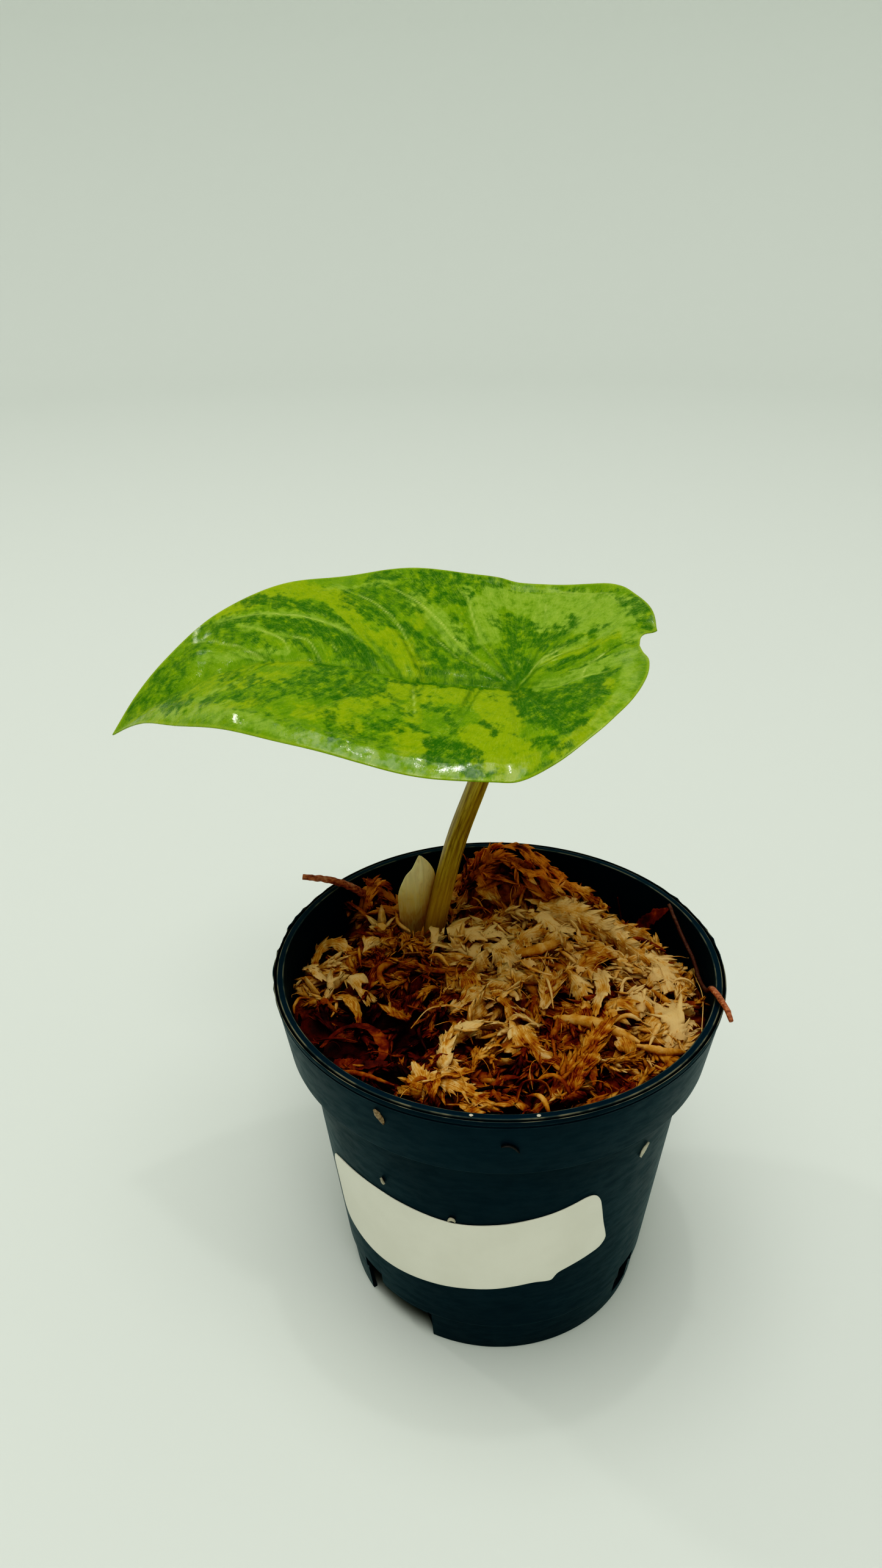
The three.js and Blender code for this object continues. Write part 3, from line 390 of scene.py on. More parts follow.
# Strands that the eye picks out: tone, thickness, points as (x, y, lift above the bed)
SHOWN_PULP = (
    (0.84, 3, ((-9, -31.5, 0.8), (-10, -26, 2.6), (-7, -20.5, 3.4), (-1, -18.6, 2.6), (4, -20.6, 1.2))),
    (0.76, 2.3, ((-9, -30, 0.6), (-8.4, -24, 2.2), (-4, -20.6, 2.4))),
    (0.72, 2.4, ((-15.6, -35.4, 0.6), (-11, -33, 1.8), (-6, -35, 1.6), (0, -38.4, 0.4))),
    (0.7, 1.9, ((-12, -36.6, 0.6), (-13.4, -33, 2.2), (-14.6, -30.4, 3.2))),
    (0.84, 4.2, ((8.6, 22.4, 2), (16, 18, 3.6), (23, 12.4, 3.2), (29.5, 5.5, 1.6))),
    (0.8, 3.1, ((6, 21, 1), (10, 17, 2.8), (13, 11, 2))),
    (0.46, 3, ((12.6, -36.2, 0.8), (15.4, -27.6, 2.4), (20.3, -18.9, 3.6))),
    (0.85, 2.4, ((19, -2, 2), (20.6, -7, 2.8), (18.4, -14, 2))),
    (0.82, 2.6, ((13.6, -1, 1.6), (15.6, -6.4, 2.6), (16.6, -11, 1.8))),
    (0.98, 3.7, ((-14.4, 7.6, 1), (-9, 11, 2.8), (-3.6, 9.4, 2.2))),
    (0.94, 3.5, ((-3, 8, 1.2), (0.6, 3.4, 2.4), (1.4, -2.6, 1))),
    (0.96, 3.9, ((28.6, 7, 1.6), (32.4, 3, 2.6), (33.4, -3.4, 1.6))),
    (0.8, 2.8, ((33, 6, 1), (36.6, 1, 1.8), (36, -5, 1))),
    (0.72, 1.9, ((-38.8, 7.1, 0.8), (-37.4, 12.5, 2.2), (-33.2, 11.2, 2.4), (-30, 6.3, 0.8))),
    (0.9, 2.3, ((-40.6, 5.4, 1.6), (-38, 2.4, 2.8), (-34.7, -0.5, 1.4))),
    (0.87, 3.1, ((-34, -6, 0.8), (-31, -1.4, 2.6), (-26.4, -5.2, 0.8))),
    (0.56, 3, ((2.4, 28.4, 1), (9, 28, 2), (14, 28.4, 1.8), (18.6, 30, 1))),
    (0.58, 2.4, ((-7, 33, 0.6), (-3, 34, 1.2), (2, 33.4, 0.6))),
    (0.66, 2.6, ((-30, 22.4, 0), (-27, 25, 1.6), (-24.6, 26.4, 0.8))),
    (0.76, 2.1, ((-31.4, 24.4, -1), (-28.6, 27, 0.4), (-26, 29, 1.6))),
    (0.76, 3, ((-9, -12, 1), (-3, -10, 2.6), (3, -12.4, 1.4))),
    (0.6, 2.8, ((-7, -2, 1.4), (-5, -7, 2.4), (-6, -12, 1.2))),
    (0.9, 3, ((8, -17.4, 1.2), (4, -15.6, 2.4), (1, -18, 1.4))),
    (0.75, 2.6, ((22, 25.4, 1.4), (25, 22, 2.2), (29, 18.6, 1.6))),
    (0.7, 2.4, ((25, 20, 1), (30, 17, 2), (34, 12.4, 1.4))),
    (0.5, 2.6, ((0, 33, 0.4), (6, 31.6, 1.8), (12, 31, 1))),
    (0.46, 2.4, ((8, 34, 0), (13, 31, 1.4), (19, 29.6, 1.6), (24, 29.4, 0.6))),
    (0.52, 2.2, ((-4, 29, 0.6), (-1, 27, 1.6), (4, 26.4, 1))),
    (0.42, 2.4, ((-8, 31, -0.4), (-6.4, 35, 1), (-1, 36, 0.6))),
)
SHOWN_LEAFY = (
    (0.42, 1.5, ((9.6, -34.6, 0.8), (13, -29, 2.2), (16, -24, 2.4))),
    (0.5, 1.5, ((-9, 29, 0), (-2, 30, 1.6), (4, 29, 1))),
)
SHOWN_STEMS = (
    (0.74, 1.15, ((2.4, 4.2, 1.2), (8, 5, 2.2), (14, 9.6, 2))),
    (0.78, 1.2, ((10.8, -14, 1.2), (18, -16.8, 2.6), (26.4, -20.8, 1.8))),
    (0.7, 0.8, ((26, -21, 1.2), (31, -22.4, 1.6), (35, -21, 0.6))),
    (0.62, 0.6, ((30.4, -4.6, 1.6), (33, -10, 2.4), (33.6, -15.4, 1))),
    (0.66, 0.5, ((27, -7, 1.4), (29.4, -12, 2.2), (29, -16, 1))),
    (0.3, 0.6, ((26.4, 14.2, 2.2), (30, 13.6, 3), (35, 11.4, 2.6))),
    (0.34, 0.5, ((-30, -28, 1), (-24, -31, 2.2), (-18, -33, 1))),
    (0.5, 0.7, ((-20, 6, 1), (-24, 1, 2.4), (-22, -4, 1.4))),
    (0, 0.35, ((-4.5, -35.5, 1.5), (-1, -35, 2.4), (2.4, -34.4, 2))),
    (0.1, 0.45, ((-10.5, 6, 0.5), (-10.8, 8, 3), (-11, 9.5, 6))),
)
SHOWN_HAIRS = (
    (0.95, 0.13, ((-16.4, -15.6, 1), (-13.4, -13, 3), (-9.8, -12.9, 3.4))),
    (0.95, 0.12, ((-13.8, 2.2, 1), (-13.1, 6.1, 3), (-11.2, 11, 2.4))),
    (1, 0.15, ((21.6, 6.8, 1.8), (24.9, 5.4, 3.4), (27, 0.2, 2))),
    (0.95, 0.11, ((40.2, 5.4, 1.6), (40.2, -5, 2.6), (38.6, -15.4, 1.4))),
    (0.85, 0.1, ((30, 4, 2), (36, 8, 3.4), (40, 12, 2))),
    (0.8, 0.1, ((9, 30, 2), (12, 26, 4), (17, 24, 2))),
)

# Torn flat shreds: tone, width, points as (x, y, lift above the bed), turn about the line in degrees
SHOWN_SHREDS = (
    (0.22, 3.4, ((29.6, 21.2, -0.6), (31.6, 22.4, 3), (34, 22.2, 6.6), (36.4, 21.2, 9.2)), 0),
    (0.2, 1.5, ((27.6, 29.6, -1), (27, 30, 2), (26.4, 30.2, 5.4)), 80),
    (0.46, 1.5, ((-33.4, 23.4, 6.4), (-30.5, 21.4, 3.4), (-26.2, 17.4, 1.4)), 20),
    (0.3, 2.6, ((-33, -21, 1), (-29, -16.6, 2.6), (-24, -18, 3.4), (-20.6, -25, 2.8), (-23, -30.4, 1)), 30),
    (0.26, 2.2, ((-30, -25, 0.6), (-25, -28.6, 2.4), (-19.6, -28, 2.2)), -30),
    (0.4, 2, ((3.6, -37, 0.8), (5, -33.6, 2.6), (8.6, -33.4, 2.4), (10, -36, 0.8)), 60),
    (0.26, 1.8, ((-2, -36.6, 0.6), (1, -32.6, 1.8), (6, -31, 1.2)), 20),
)

# Stars of fine pointed leaves: (x, y, lift), size, tone
STAR_TUFTS = (
    ((-25.4, 17.2, 1.6), 1.3, 0.86), ((-11.9, 26.4, 1.6), 1.2, 0.75), ((25, 2.2, 2.6), 1.2, 0.9),
    ((-8.4, 7, 2.6), 1.5, 0.92), ((-33, 24.6, 3.6), 0.9, 0.4), ((-28.6, 25.4, 3.6), 1, 0.4),
    ((-6.4, 34, 2), 1.1, 0.45), ((-10, 24, 1.6), 1.1, 0.72), ((14, 6, 2), 1, 0.8),
    ((23, 26.4, 2.4), 1, 0.8), ((33.4, 12.6, 2.2), 1, 0.82), ((-15, -33, 1.4), 0.7, 0.6),
    ((22, -14, 2), 1, 0.7), ((35, -9, 2), 1, 0.8), ((-22, 11, 1.4), 1, 0.6),
)

# Slivers of husk and moss on the pot's side: name, tone, (azimuth, height) of their points, width
SLIVERS = (
    ("husk_sliver", 0.62, ((-28.2, 72.6), (-27.2, 71.2), (-26.2, 69.6)), 1.3),
    ("crumb_left", 0.9, ((-34.4, 47.6), (-33.9, 46.8), (-33.5, 46.2)), 0.9),
    ("crumb_on_sticker", 0.9, ((-13.2, 42.5), (-12.1, 43.1), (-11, 42.6)), 0.8),
    ("black_curl", 0, ((1.4, 69.7), (2.8, 69.9), (4.2, 69.4), (5.6, 67.9)), 0.42),
    ("husk_right", 1, ((46.2, 50.3), (47.6, 51.6), (49, 53)), 1.15),
)
RIM_CRUMBS = (-5.4, 9.6)

# The stage: a round floor that bends up into a low wall
STAGE = {"flat": 1080, "bend": 420, "wall": 520, "sides": 96}

# Soft round lamps: place, what they face, width, strength and colour
LAMPS = {
    "overhead": ((-150, -20, 2300), (0, 620, 60), 1500, 22, (1, 0.99, 0.97)),
    "front_lamp": ((110, -820, 1500), (0, 0, 60), 500, 5, (1, 0.98, 0.95)),
    "small_lamp": ((40, 60, 1250), (0, 10, 120), 45, 0.8, (1, 0.99, 0.95)),
    "left_lamp": ((-620, 260, 820), (0, 10, 100), 60, 0.7, (1, 0.98, 0.93)),
}

# The camera stands where the photograph was taken from; its angles are in degrees

CAMERA = {"at": (0, -189.9, 220.2), "yaw": -3.326, "pitch": 28.786, "roll": -0.625, "lens": 27.05}

# How light the view shows what the scene gives
SHOWN_WHITE = 0.98
DEEPENED = ((0.02, 0.004), (0.05, 0.024), (0.1, 0.072), (0.2, 0.178), (0.4, 0.4))


# Small maths

def through(knots, x):
    """Smooth value through (x, y) knots, flat beyond the ends."""
    table = np.array(knots, float)
    xs, ys = table[:, 0], table[:, 1]
    at = np.clip(x, xs[0], xs[-1])
    i = np.clip(np.searchsorted(xs, at, side="right") - 1, 0, len(xs) - 2)
    slope = np.empty(len(xs))
    slope[1:-1] = (ys[2:] - ys[:-2]) / (xs[2:] - xs[:-2])
    slope[0] = (ys[1] - ys[0]) / (xs[1] - xs[0])
    slope[-1] = (ys[-1] - ys[-2]) / (xs[-1] - xs[-2])
    width = xs[i + 1] - xs[i]
    u = (at - xs[i]) / width
    return ((2 * u**3 - 3 * u**2 + 1) * ys[i] + (u**3 - 2 * u**2 + u) * width * slope[i]
            + (3 * u**2 - 2 * u**3) * ys[i + 1] + (u**3 - u**2) * width * slope[i + 1])


def ease(low, high, x):
    """0 below low, 1 above high, smooth between."""
    u = np.clip((x - low) / (high - low), 0, 1)
    return u * u * (3 - 2 * u)


def polar(azimuth, radius, z):
    """Azimuth 0 faces the front and grows towards +X."""
    a = np.radians(azimuth)
    return np.stack(np.broadcast_arrays(radius * np.sin(a), -radius * np.cos(a), z), -1)


def smooth_line(points, count):
    """count evenly spaced points on a Catmull-Rom line through the given ones."""
    p = np.array(points, float)
    p = np.vstack([2 * p[0] - p[1], p, 2 * p[-1] - p[-2]])
    u = np.linspace(0, 1, 24, endpoint=False)[:, None]
    runs = []
    for i in range(1, len(p) - 2):
        a, b, c, d = p[i - 1], p[i], p[i + 1], p[i + 2]
        runs.append(0.5 * (2 * b + (c - a) * u + (2 * a - 5 * b + 4 * c - d) * u**2
                           + (3 * b - a - 3 * c + d) * u**3))
    line = np.vstack(runs + [p[-2][None]])
    run = np.concatenate([[0], np.cumsum(np.linalg.norm(np.diff(line, axis=0), axis=1))])
    even = np.linspace(0, run[-1], count)
    return np.stack([np.interp(even, run, line[:, k]) for k in range(line.shape[1])], -1)


def segment_gap(s, t, a, b):
    """Distance from each (s, t) to the segment from a to b, and how far along it the nearest point is."""
    d = b - a
    u = np.clip(((s - a[0]) * d[0] + (t - a[1]) * d[1]) / (d @ d), 0, 1)
    return np.hypot(s - a[0] - u * d[0], t - a[1] - u * d[1]), u


def line_gap(s, t, line):
    """Distance from each (s, t) to a line of points, and the share of its length at the nearest."""
    best = np.full(s.shape, 1e9)
    along = np.zeros(s.shape)
    pts = np.array(line, float)
    for i in range(len(pts) - 1):
        gap, u = segment_gap(s, t, pts[i], pts[i + 1])
        nearer = gap < best
        best = np.where(nearer, gap, best)
        along = np.where(nearer, (i + u) / (len(pts) - 1), along)
    return best, along


def waves(x, y, seed, scale, octaves=3):
    """Smooth random waves of about the given size, from -1 to 1, by summed turned sines."""
    rng = np.random.default_rng(seed)
    total = np.zeros(np.shape(x))
    strength = 0.0
    for octave in range(octaves):
        for _ in range(5):
            turn = rng.uniform(0, 2 * np.pi)
            pitch = 2 * np.pi / (scale * rng.uniform(0.7, 1.4)) * 2**octave
            phase = rng.uniform(0, 2 * np.pi)
            total = total + np.sin((x * np.cos(turn) + y * np.sin(turn)) * pitch + phase) / 2**octave
            strength += 1.0 / 2**octave
    return total / strength * 2.2


def carried_frames(path):
    """Tangent, side and up at each point of a path, turned as little as possible along it."""
    tangent = np.gradient(path, axis=0)
    tangent /= np.linalg.norm(tangent, axis=1)[:, None]
    up = np.array([0, 0, 1.0]) if abs(tangent[0][2]) < 0.9 else np.array([0, 1.0, 0])
    sides, ups = [], []
    for t in tangent:
        up = up - t * (up @ t)
        up = up / np.linalg.norm(up)
        ups.append(up)
        sides.append(np.cross(t, up))
    return tangent, np.array(sides), np.array(ups)


# Meshes

def object_of(name, data):
    """A new object in the scene, at the origin, that holds a mesh, a lamp or a camera."""
    made = bpy.data.objects.new(name, data)
    bpy.context.scene.collection.objects.link(made)
    return made


def smoothed(piece):
    """Shades all of a piece's faces smoothly."""
    piece.data.polygons.foreach_set("use_smooth", [True] * len(piece.data.polygons))
    return piece


def piece_of(name, points, faces, smooth=True):
    """A new object at the origin from points in millimetres and faces of 3 or 4 corners."""
    mesh = bpy.data.meshes.new(name)
    mesh.from_pydata((np.asarray(points, float) * MM).tolist(), [], faces)
    mesh.validate()
    made = object_of(name, mesh)
    return smoothed(made) if smooth else made


def baked(piece):
    """Keeps what a piece's modifiers make as its own plain mesh."""
    graph = bpy.context.evaluated_depsgraph_get()
    mesh = bpy.data.meshes.new_from_object(piece.evaluated_get(graph))
    piece.modifiers.clear()
    piece.data = mesh
    return piece


def merge_close(piece, distance):
    """Welds vertices that lie together, such as where the blade's two halves meet on the midrib."""
    modifier = piece.modifiers.new("weld", "WELD")
    modifier.merge_threshold = distance * MM
    return baked(piece)


def give_values(piece, name, values):
    """Stores one number for each vertex."""
    held = piece.data.attributes.new(name, "FLOAT", "POINT")
    held.data.foreach_set("value", np.asarray(values, np.float32))


def give_tone(piece, tone):
    """Stores how light the moss or husk is at each vertex, and a middling shade for all of them."""
    count = len(piece.data.vertices)
    give_values(piece, "tone", np.full(count, tone))
    give_values(piece, "shade", np.full(count, 0.5))


def give_map(piece, name, u, v):
    """Stores a flat map of the surface, in millimetres, from one pair for each vertex."""
    mesh = piece.data
    layer = mesh.uv_layers.new(name=name)
    corner = np.empty(len(mesh.loops), np.int32)
    mesh.loops.foreach_get("vertex_index", corner)
    pairs = np.stack([np.asarray(u)[corner], np.asarray(v)[corner]], -1)
    layer.data.foreach_set("uv", pairs.astype(np.float32).ravel())


def skin_faces(rows, across, first=0, closed=True):
    """Faces of a skin over rows of points; closed joins each row's end to its start."""
    faces = []
    last = across if closed else across - 1
    for r in range(rows - 1):
        for i in range(last):
            a = first + r * across + i
            b = first + r * across + (i + 1) % across
            faces.append((a, b, b + across, a + across))
    return faces


def closed_skin(rows):
    """Points and faces of a skin over loops of points, with both end loops capped."""
    rows = np.asarray(rows, float)
    count, across = rows.shape[:2]
    points = rows.reshape(-1, 3)
    faces = skin_faces(count, across)
    caps = np.stack([rows[0].mean(0), rows[-1].mean(0)])
    low, high = len(points), len(points) + 1
    top = (count - 1) * across
    for i in range(across):
        j = (i + 1) % across
        faces.append((low, j, i))
        faces.append((high, top + i, top + j))
    return np.vstack([points, caps]), faces


def face_out(piece):
    """Turns a closed piece's faces outward, judged by its volume."""
    mesh = piece.data
    mesh.calc_loop_triangles()
    co = np.empty(len(mesh.vertices) * 3, np.float32)
    mesh.vertices.foreach_get("co", co)
    co = co.reshape(-1, 3)
    tri = np.empty(len(mesh.loop_triangles) * 3, np.int32)
    mesh.loop_triangles.foreach_get("vertices", tri)
    a, b, c = (co[tri.reshape(-1, 3)[:, k]] for k in range(3))
    if np.einsum("ij,ij->i", a, np.cross(b, c)).sum() < 0:
        mesh.flip_normals()
    return piece


def two_sided(count):
    """Places across a strip, from -1 to 1 on its upper face and back on its lower one, and the face."""
    across = np.concatenate([np.linspace(-1, 1, count), np.linspace(1, -1, count)])
    return across, np.repeat([1.0, -1.0], count)


def widths_of(width, start=0.4, end=0.3):
    """Widths along a sliver, which narrows to a share of its width at both ends."""
    return width * start, width, width * 0.9, width * end


def ribbon(name, path, widths, thickness, steps, turn, ragged, curl, seed):
    """A thin strip along a path: turn tilts it, curl cups it and ragged tears its edges."""
    line = smooth_line(path, steps)
    _, sides, ups = carried_frames(line)
    share = np.linspace(0, 1, steps)
    half = np.interp(share, np.linspace(0, 1, len(widths)), widths) / 2
    rng = np.random.default_rng(seed)
    tilt = math.radians(turn)
    across, face = two_sided(7)
    rows = []
    for k in range(steps):
        side = sides[k] * math.cos(tilt) + ups[k] * math.sin(tilt)
        up = ups[k] * math.cos(tilt) - sides[k] * math.sin(tilt)
        torn = 1 + ragged * rng.uniform(-1, 1, 2)
        reach = across * half[k] * np.where(across < 0, torn[0], torn[1])
        thin = thickness / 2 * (1 - 0.75 * np.abs(across)) * face
        rows.append(line[k] + side * reach[:, None] + up * (thin + curl * half[k] * across**2)[:, None])
    points, faces = closed_skin(rows)
    return face_out(piece_of(name, points, faces))


def round_rows(line, turn, reach):
    """Loops of points round a line, at the angles in turn and the given distances from it."""
    _, side, up = carried_frames(line)
    reach = reach[..., None]
    return (line[:, None] + side[:, None] * (np.cos(turn)[None, :, None] * reach)
            + up[:, None] * (np.sin(turn)[None, :, None] * reach))


def give_round_map(piece, turn, run):
    """Stores the angle round a rod and the length along it; the middles of its caps come last."""
    around = np.append(np.tile(turn, len(run)), [0, 0])
    give_map(piece, "along", around, np.append(np.repeat(run, len(turn)), [0, run[-1]]))


def rod(name, path, radii, sides, steps, rough, seed):
    """A round rod along a path, with a knobbly radius."""
    share = np.linspace(0, 1, steps)
    radius = through([(k / (len(radii) - 1), r) for k, r in enumerate(radii)], share)
    turn = np.linspace(0, 2 * np.pi, sides, endpoint=False)
    lumps = 1 + rough * waves(share[:, None] * 90, turn[None] * 3, seed, 8)
    points, faces = closed_skin(round_rows(smooth_line(path, steps), turn, radius[:, None] * lumps))
    made = face_out(piece_of(name, points, faces))
    give_round_map(made, turn, share * 100)
    return made


def joined(name, pieces):
    """One object from several, with their attributes kept."""
    with bpy.context.temp_override(active_object=pieces[0], selected_editable_objects=pieces):
        bpy.ops.object.join()
    pieces[0].name = name
    pieces[0].data.name = name
    return pieces[0]


def finished(piece, material, slot, *nodes):
    """Gives a piece its material and its place on the one body, and hides the solids it stands for."""
    piece.data.materials.clear()
    piece.data.materials.append(material)
    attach(piece, "root")
    if nodes:
        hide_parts(*nodes)
    return piece


# Node trees

def node_in(tree, kind, inputs=None, **settings):
    """Adds a node, sets its settings, and links or fills its inputs by name or number."""
    made = tree.nodes.new(kind)
    for name, value in settings.items():
        setattr(made, name, value)
    for key, value in (inputs or {}).items():
        if isinstance(value, bpy.types.NodeSocket):
            tree.links.new(value, made.inputs[key])
        else:
            made.inputs[key].default_value = value
    return made


def node(kind, inputs, **settings):
    """Adds a node to the tree of the sockets that feed it."""
    feeding = next(value for value in inputs.values() if isinstance(value, bpy.types.NodeSocket))
    return node_in(feeding.id_data, kind, inputs, **settings)


def socket_named(shader, key):
    """A shader's input, where key is its title in small letters with its words joined by _."""
    return shader.inputs[key.replace("_", " ").title().replace("Ior", "IOR")]


def dress(shader, **sockets):
    """Links sockets to a shader's inputs."""
    for key, socket in sockets.items():
        shader.id_data.links.new(socket, socket_named(shader, key))


def finish_named(name, **values):
    """A material with values set on its shader's own sockets."""
    material = bpy.data.materials.new(name)
    material.use_nodes = True
    shader = material.node_tree.nodes["Principled BSDF"]
    for key, value in values.items():
        socket_named(shader, key).default_value = value
    return material, material.node_tree, shader


def place(tree):
    """The piece's own coordinates, in metres."""
    return node_in(tree, "ShaderNodeTexCoord").outputs["Object"]


def flat_map(tree, name):
    return node_in(tree, "ShaderNodeUVMap", uv_map=name).outputs["UV"]


def stored(tree, name):
    return node_in(tree, "ShaderNodeAttribute", attribute_name=name).outputs["Fac"]


def stretched(vector, scale):
    return node("ShaderNodeMapping", {"Vector": vector, "Scale": scale}).outputs[0]


def noise(vector, scale, detail=3.0, roughness=0.55, distortion=0.0):
    return node("ShaderNodeTexNoise", {"Vector": vector, "Scale": scale, "Detail": detail,
                                       "Roughness": roughness, "Distortion": distortion}).outputs[0]


def streaky(vector, scale, detail, roughness):
    """Noise stretched by its own scale along each axis."""
    return noise(stretched(vector, scale), 1.0, detail, roughness)


def maths(operation, a, b=0.0, c=0.0):
    return node("ShaderNodeMath", {0: a, 1: b, 2: c}, operation=operation).outputs[0]


def times(a, b):
    return maths("MULTIPLY", a, b)


def parts_of(vector):
    """The x, y and z of a vector."""
    return node("ShaderNodeSeparateXYZ", {"Vector": vector}).outputs


def axis_distance(x, y):
    """Distance from the pot's upright axis."""
    return maths("SQRT", maths("ADD", times(x, x), times(y, y)))


def swung(sources):
    """Noises from 0 to 1 added up as swings about 0, each of its own size."""
    total = 0.0
    for value, size in sources:
        total = maths("MULTIPLY_ADD", maths("SUBTRACT", value, 0.5), size, total)
    return total


def between(value, low, high, out_low=0.0, out_high=1.0):
    """value from low to high becomes out_low to out_high, smoothly."""
    return node("ShaderNodeMapRange",
                {"Value": value, "From Min": low, "From Max": high, "To Min": out_low, "To Max": out_high},
                interpolation_type="SMOOTHSTEP").outputs[0]


def blend(share, a, b):
    """Colour a where share is 0 and b where it is 1."""
    return node("ShaderNodeMix", {0: share, 6: a, 7: b}, data_type="RGBA").outputs[2]


def ramp(value, stops):
    made = node("ShaderNodeValToRGB", {"Fac": value})
    points = made.color_ramp.elements
    while len(points) < len(stops):
        points.new(0.5)
    for point, (at, colour) in zip(points, stops):
        point.position = at
        point.color = (*colour, 1)
    return made.outputs["Color"]


def bump(height, strength, distance, normal=None):
    inputs = {"Height": height, "Strength": strength, "Distance": distance}
    if normal is not None:
        inputs["Normal"] = normal
    return node("ShaderNodeBump", inputs).outputs[0]


# Finishes; heights, distances and depths of relief are in metres

DARK_GREEN = (0.022, 0.105, 0.003, 1)
DEEP_GREEN = (0.062, 0.168, 0.003, 1)
MID_GREEN = (0.108, 0.228, 0.003, 1)
SOFT_GREEN = (0.158, 0.276, 0.004, 1)
LIME_GREEN = (0.24, 0.33, 0.003, 1)
PALE_GREEN = (0.24, 0.375, 0.05, 1)
VEIN_GREEN = (0.48, 0.61, 0.14, 1)
RIM_GREEN = (0.32, 0.42, 0.04, 1)
UNDER_GREEN = (0.26, 0.4, 0.09, 1)
RIB_GREEN = (0.42, 0.5, 0.2, 1)

# The marbling in painting order: stored area, colour, how far the noise sways its edge, where the edge
# starts and ends, and how much it covers
MARBLING = (
    ("lime", LIME_GREEN, -0.7, -0.4, 0.9, 0.8),
    ("pale", PALE_GREEN, -0.7, -0.5, 1.3, 0.85),
    ("dark", DARK_GREEN, 1.0, -0.45, 1.05, 0.93),
)


def leaf_finish():
    """Marbled leaf: each tone has soft areas stored on the mesh, and streaky noise frays them; painted
    shade darkens it beside the veins and in the creases.
    """
    material, tree, shader = finish_named("marbled_leaf", specular_ior_level=0.1, coat_roughness=0.06)
    shader.inputs["Specular Tint"].default_value = (0.7, 0.9, 0.35, 1)
    plan = flat_map(tree, "plan")
    grain = flat_map(tree, "grain")
    inset = stored(tree, "inset")
    streaks = streaky(grain, (1.3, 0.3, 1), 5, 0.68)
    mottle = noise(plan, 0.6, 5, 0.56)
    speckle = noise(plan, 2.2, 3, 0.6)
    clouds = noise(plan, 0.3, 3, 0.5)
    fibres = streaky(grain, (2.4, 0.16, 1), 3, 0.6)
    swing = swung(((streaks, 1.9), (mottle, 4.2), (speckle, 0.9)))
    colour = blend(between(clouds, 0.36, 0.66), MID_GREEN, SOFT_GREEN)
    colour = blend(between(swing, -0.2, 1.1, 0, 0.85), colour, DEEP_GREEN)
    colour = blend(between(swing, -0.2, -1.0, 0, 0.7), colour, LIME_GREEN)
    for area, paint, sway, low, high, cover in MARBLING:
        frayed = maths("MULTIPLY_ADD", swing, sway, stored(tree, area))
        colour = blend(between(frayed, low, high, 0, cover), colour, paint)
    grit = noise(plan, 1.6, 4, 0.62)
    colour = blend(between(grit, 0.5, 0.7, 0, 0.34), colour, MID_GREEN)
    colour = blend(between(grit, 0.5, 0.32, 0, 0.2), colour, PALE_GREEN)
    # Painted shade beside the veins and in the creases
    shaded = times(stored(tree, "crease_shade"), between(mottle, 0.3, 0.6, 0.35, 0.8))
    colour = blend(shaded, colour, DARK_GREEN)
    from_thread = maths("ABSOLUTE", maths("SUBTRACT", fibres, 0.5))
    colour = blend(between(from_thread, 0.02, 0.0, 0, 0.16), colour, VEIN_GREEN)
    broken = between(mottle, 0.38, 0.6, 0.2, 0.95)
    colour = blend(times(stored(tree, "line"), broken), colour, VEIN_GREEN)
    colour = blend(between(inset, 0.15, 0.6, 0.42, 0), colour, RIM_GREEN)
    under = blend(0.72, colour, UNDER_GREEN)
    under = blend(times(stored(tree, "rib"), 0.5), under, RIB_GREEN)
    colour = blend(stored(tree, "under"), colour, under)
    pebbles = noise(plan, 2.6, 2, 0.5, 0.6)
    fine = streaky(grain, (2.2, 0.6, 1), 3, 0.6)
    relief = bump(fine, 0.12, 0.0003, bump(pebbles, 0.35, 0.0004))
    dress(shader, base_color=colour, normal=relief, roughness=between(speckle, 0.3, 0.7, 0.22, 0.36))
    # The glints are strongest near the margin and on the near half, and come in patches
    near_half = between(parts_of(plan)[1], 3, -3, 0.12, 0.55)
    gloss = times(between(inset, 2.5, 5.5, 1, 0), near_half)
    gloss = times(gloss, between(noise(plan, 0.5, 3, 0.6), 0.38, 0.6, 0.1, 1))
    puckers = noise(stretched(plan, (1.0, 1.8, 1)), 3.4, 2, 0.6)
    dress(shader, coat_weight=maths("ADD", gloss, 0.04), coat_normal=bump(puckers, 0.6, 0.000015))
    return material


STALK_TONES = ((0.3, (0.12, 0.062, 0.005)), (0.45, (0.29, 0.18, 0.014)),
               (0.58, (0.43, 0.3, 0.034)), (0.75, (0.56, 0.46, 0.09)))
STALK_FLECK = (0.1, 0.048, 0.006, 1)
STALK_FOOT_TINT = (0.56, 0.33, 0.06, 1)
STALK_TOP_TINT = (0.28, 0.34, 0.05, 1)


def stalk_finish():
    """Satin olive skin with brown streaks that run along it; the foot is tan and the top green."""
    material, tree, shader = finish_named("streaked_stalk", roughness=0.42, specular_ior_level=0.4)
    ring = parts_of(flat_map(tree, "along"))
    round_x = maths("COSINE", ring[0])
    round_y = maths("SINE", ring[0])
    wrapped = node("ShaderNodeCombineXYZ", {0: round_x, 1: round_y, 2: ring[1]}).outputs[0]
    streaks = streaky(wrapped, (5, 5, 0.09), 4, 0.62)
    flecks = streaky(wrapped, (9, 9, 0.5), 3, 0.6)
    colour = blend(between(flecks, 0.5, 0.72, 0, 0.55), ramp(streaks, STALK_TONES), STALK_FLECK)
    height = parts_of(place(tree))[2]
    colour = blend(between(height, 0.092, 0.074, 0, 0.6), colour, STALK_FOOT_TINT)
    colour = blend(between(height, 0.112, 0.128, 0, 0.55), colour, STALK_TOP_TINT)
    dress(shader, base_color=colour, normal=bump(streaks, 0.35, 0.0004))
    return material


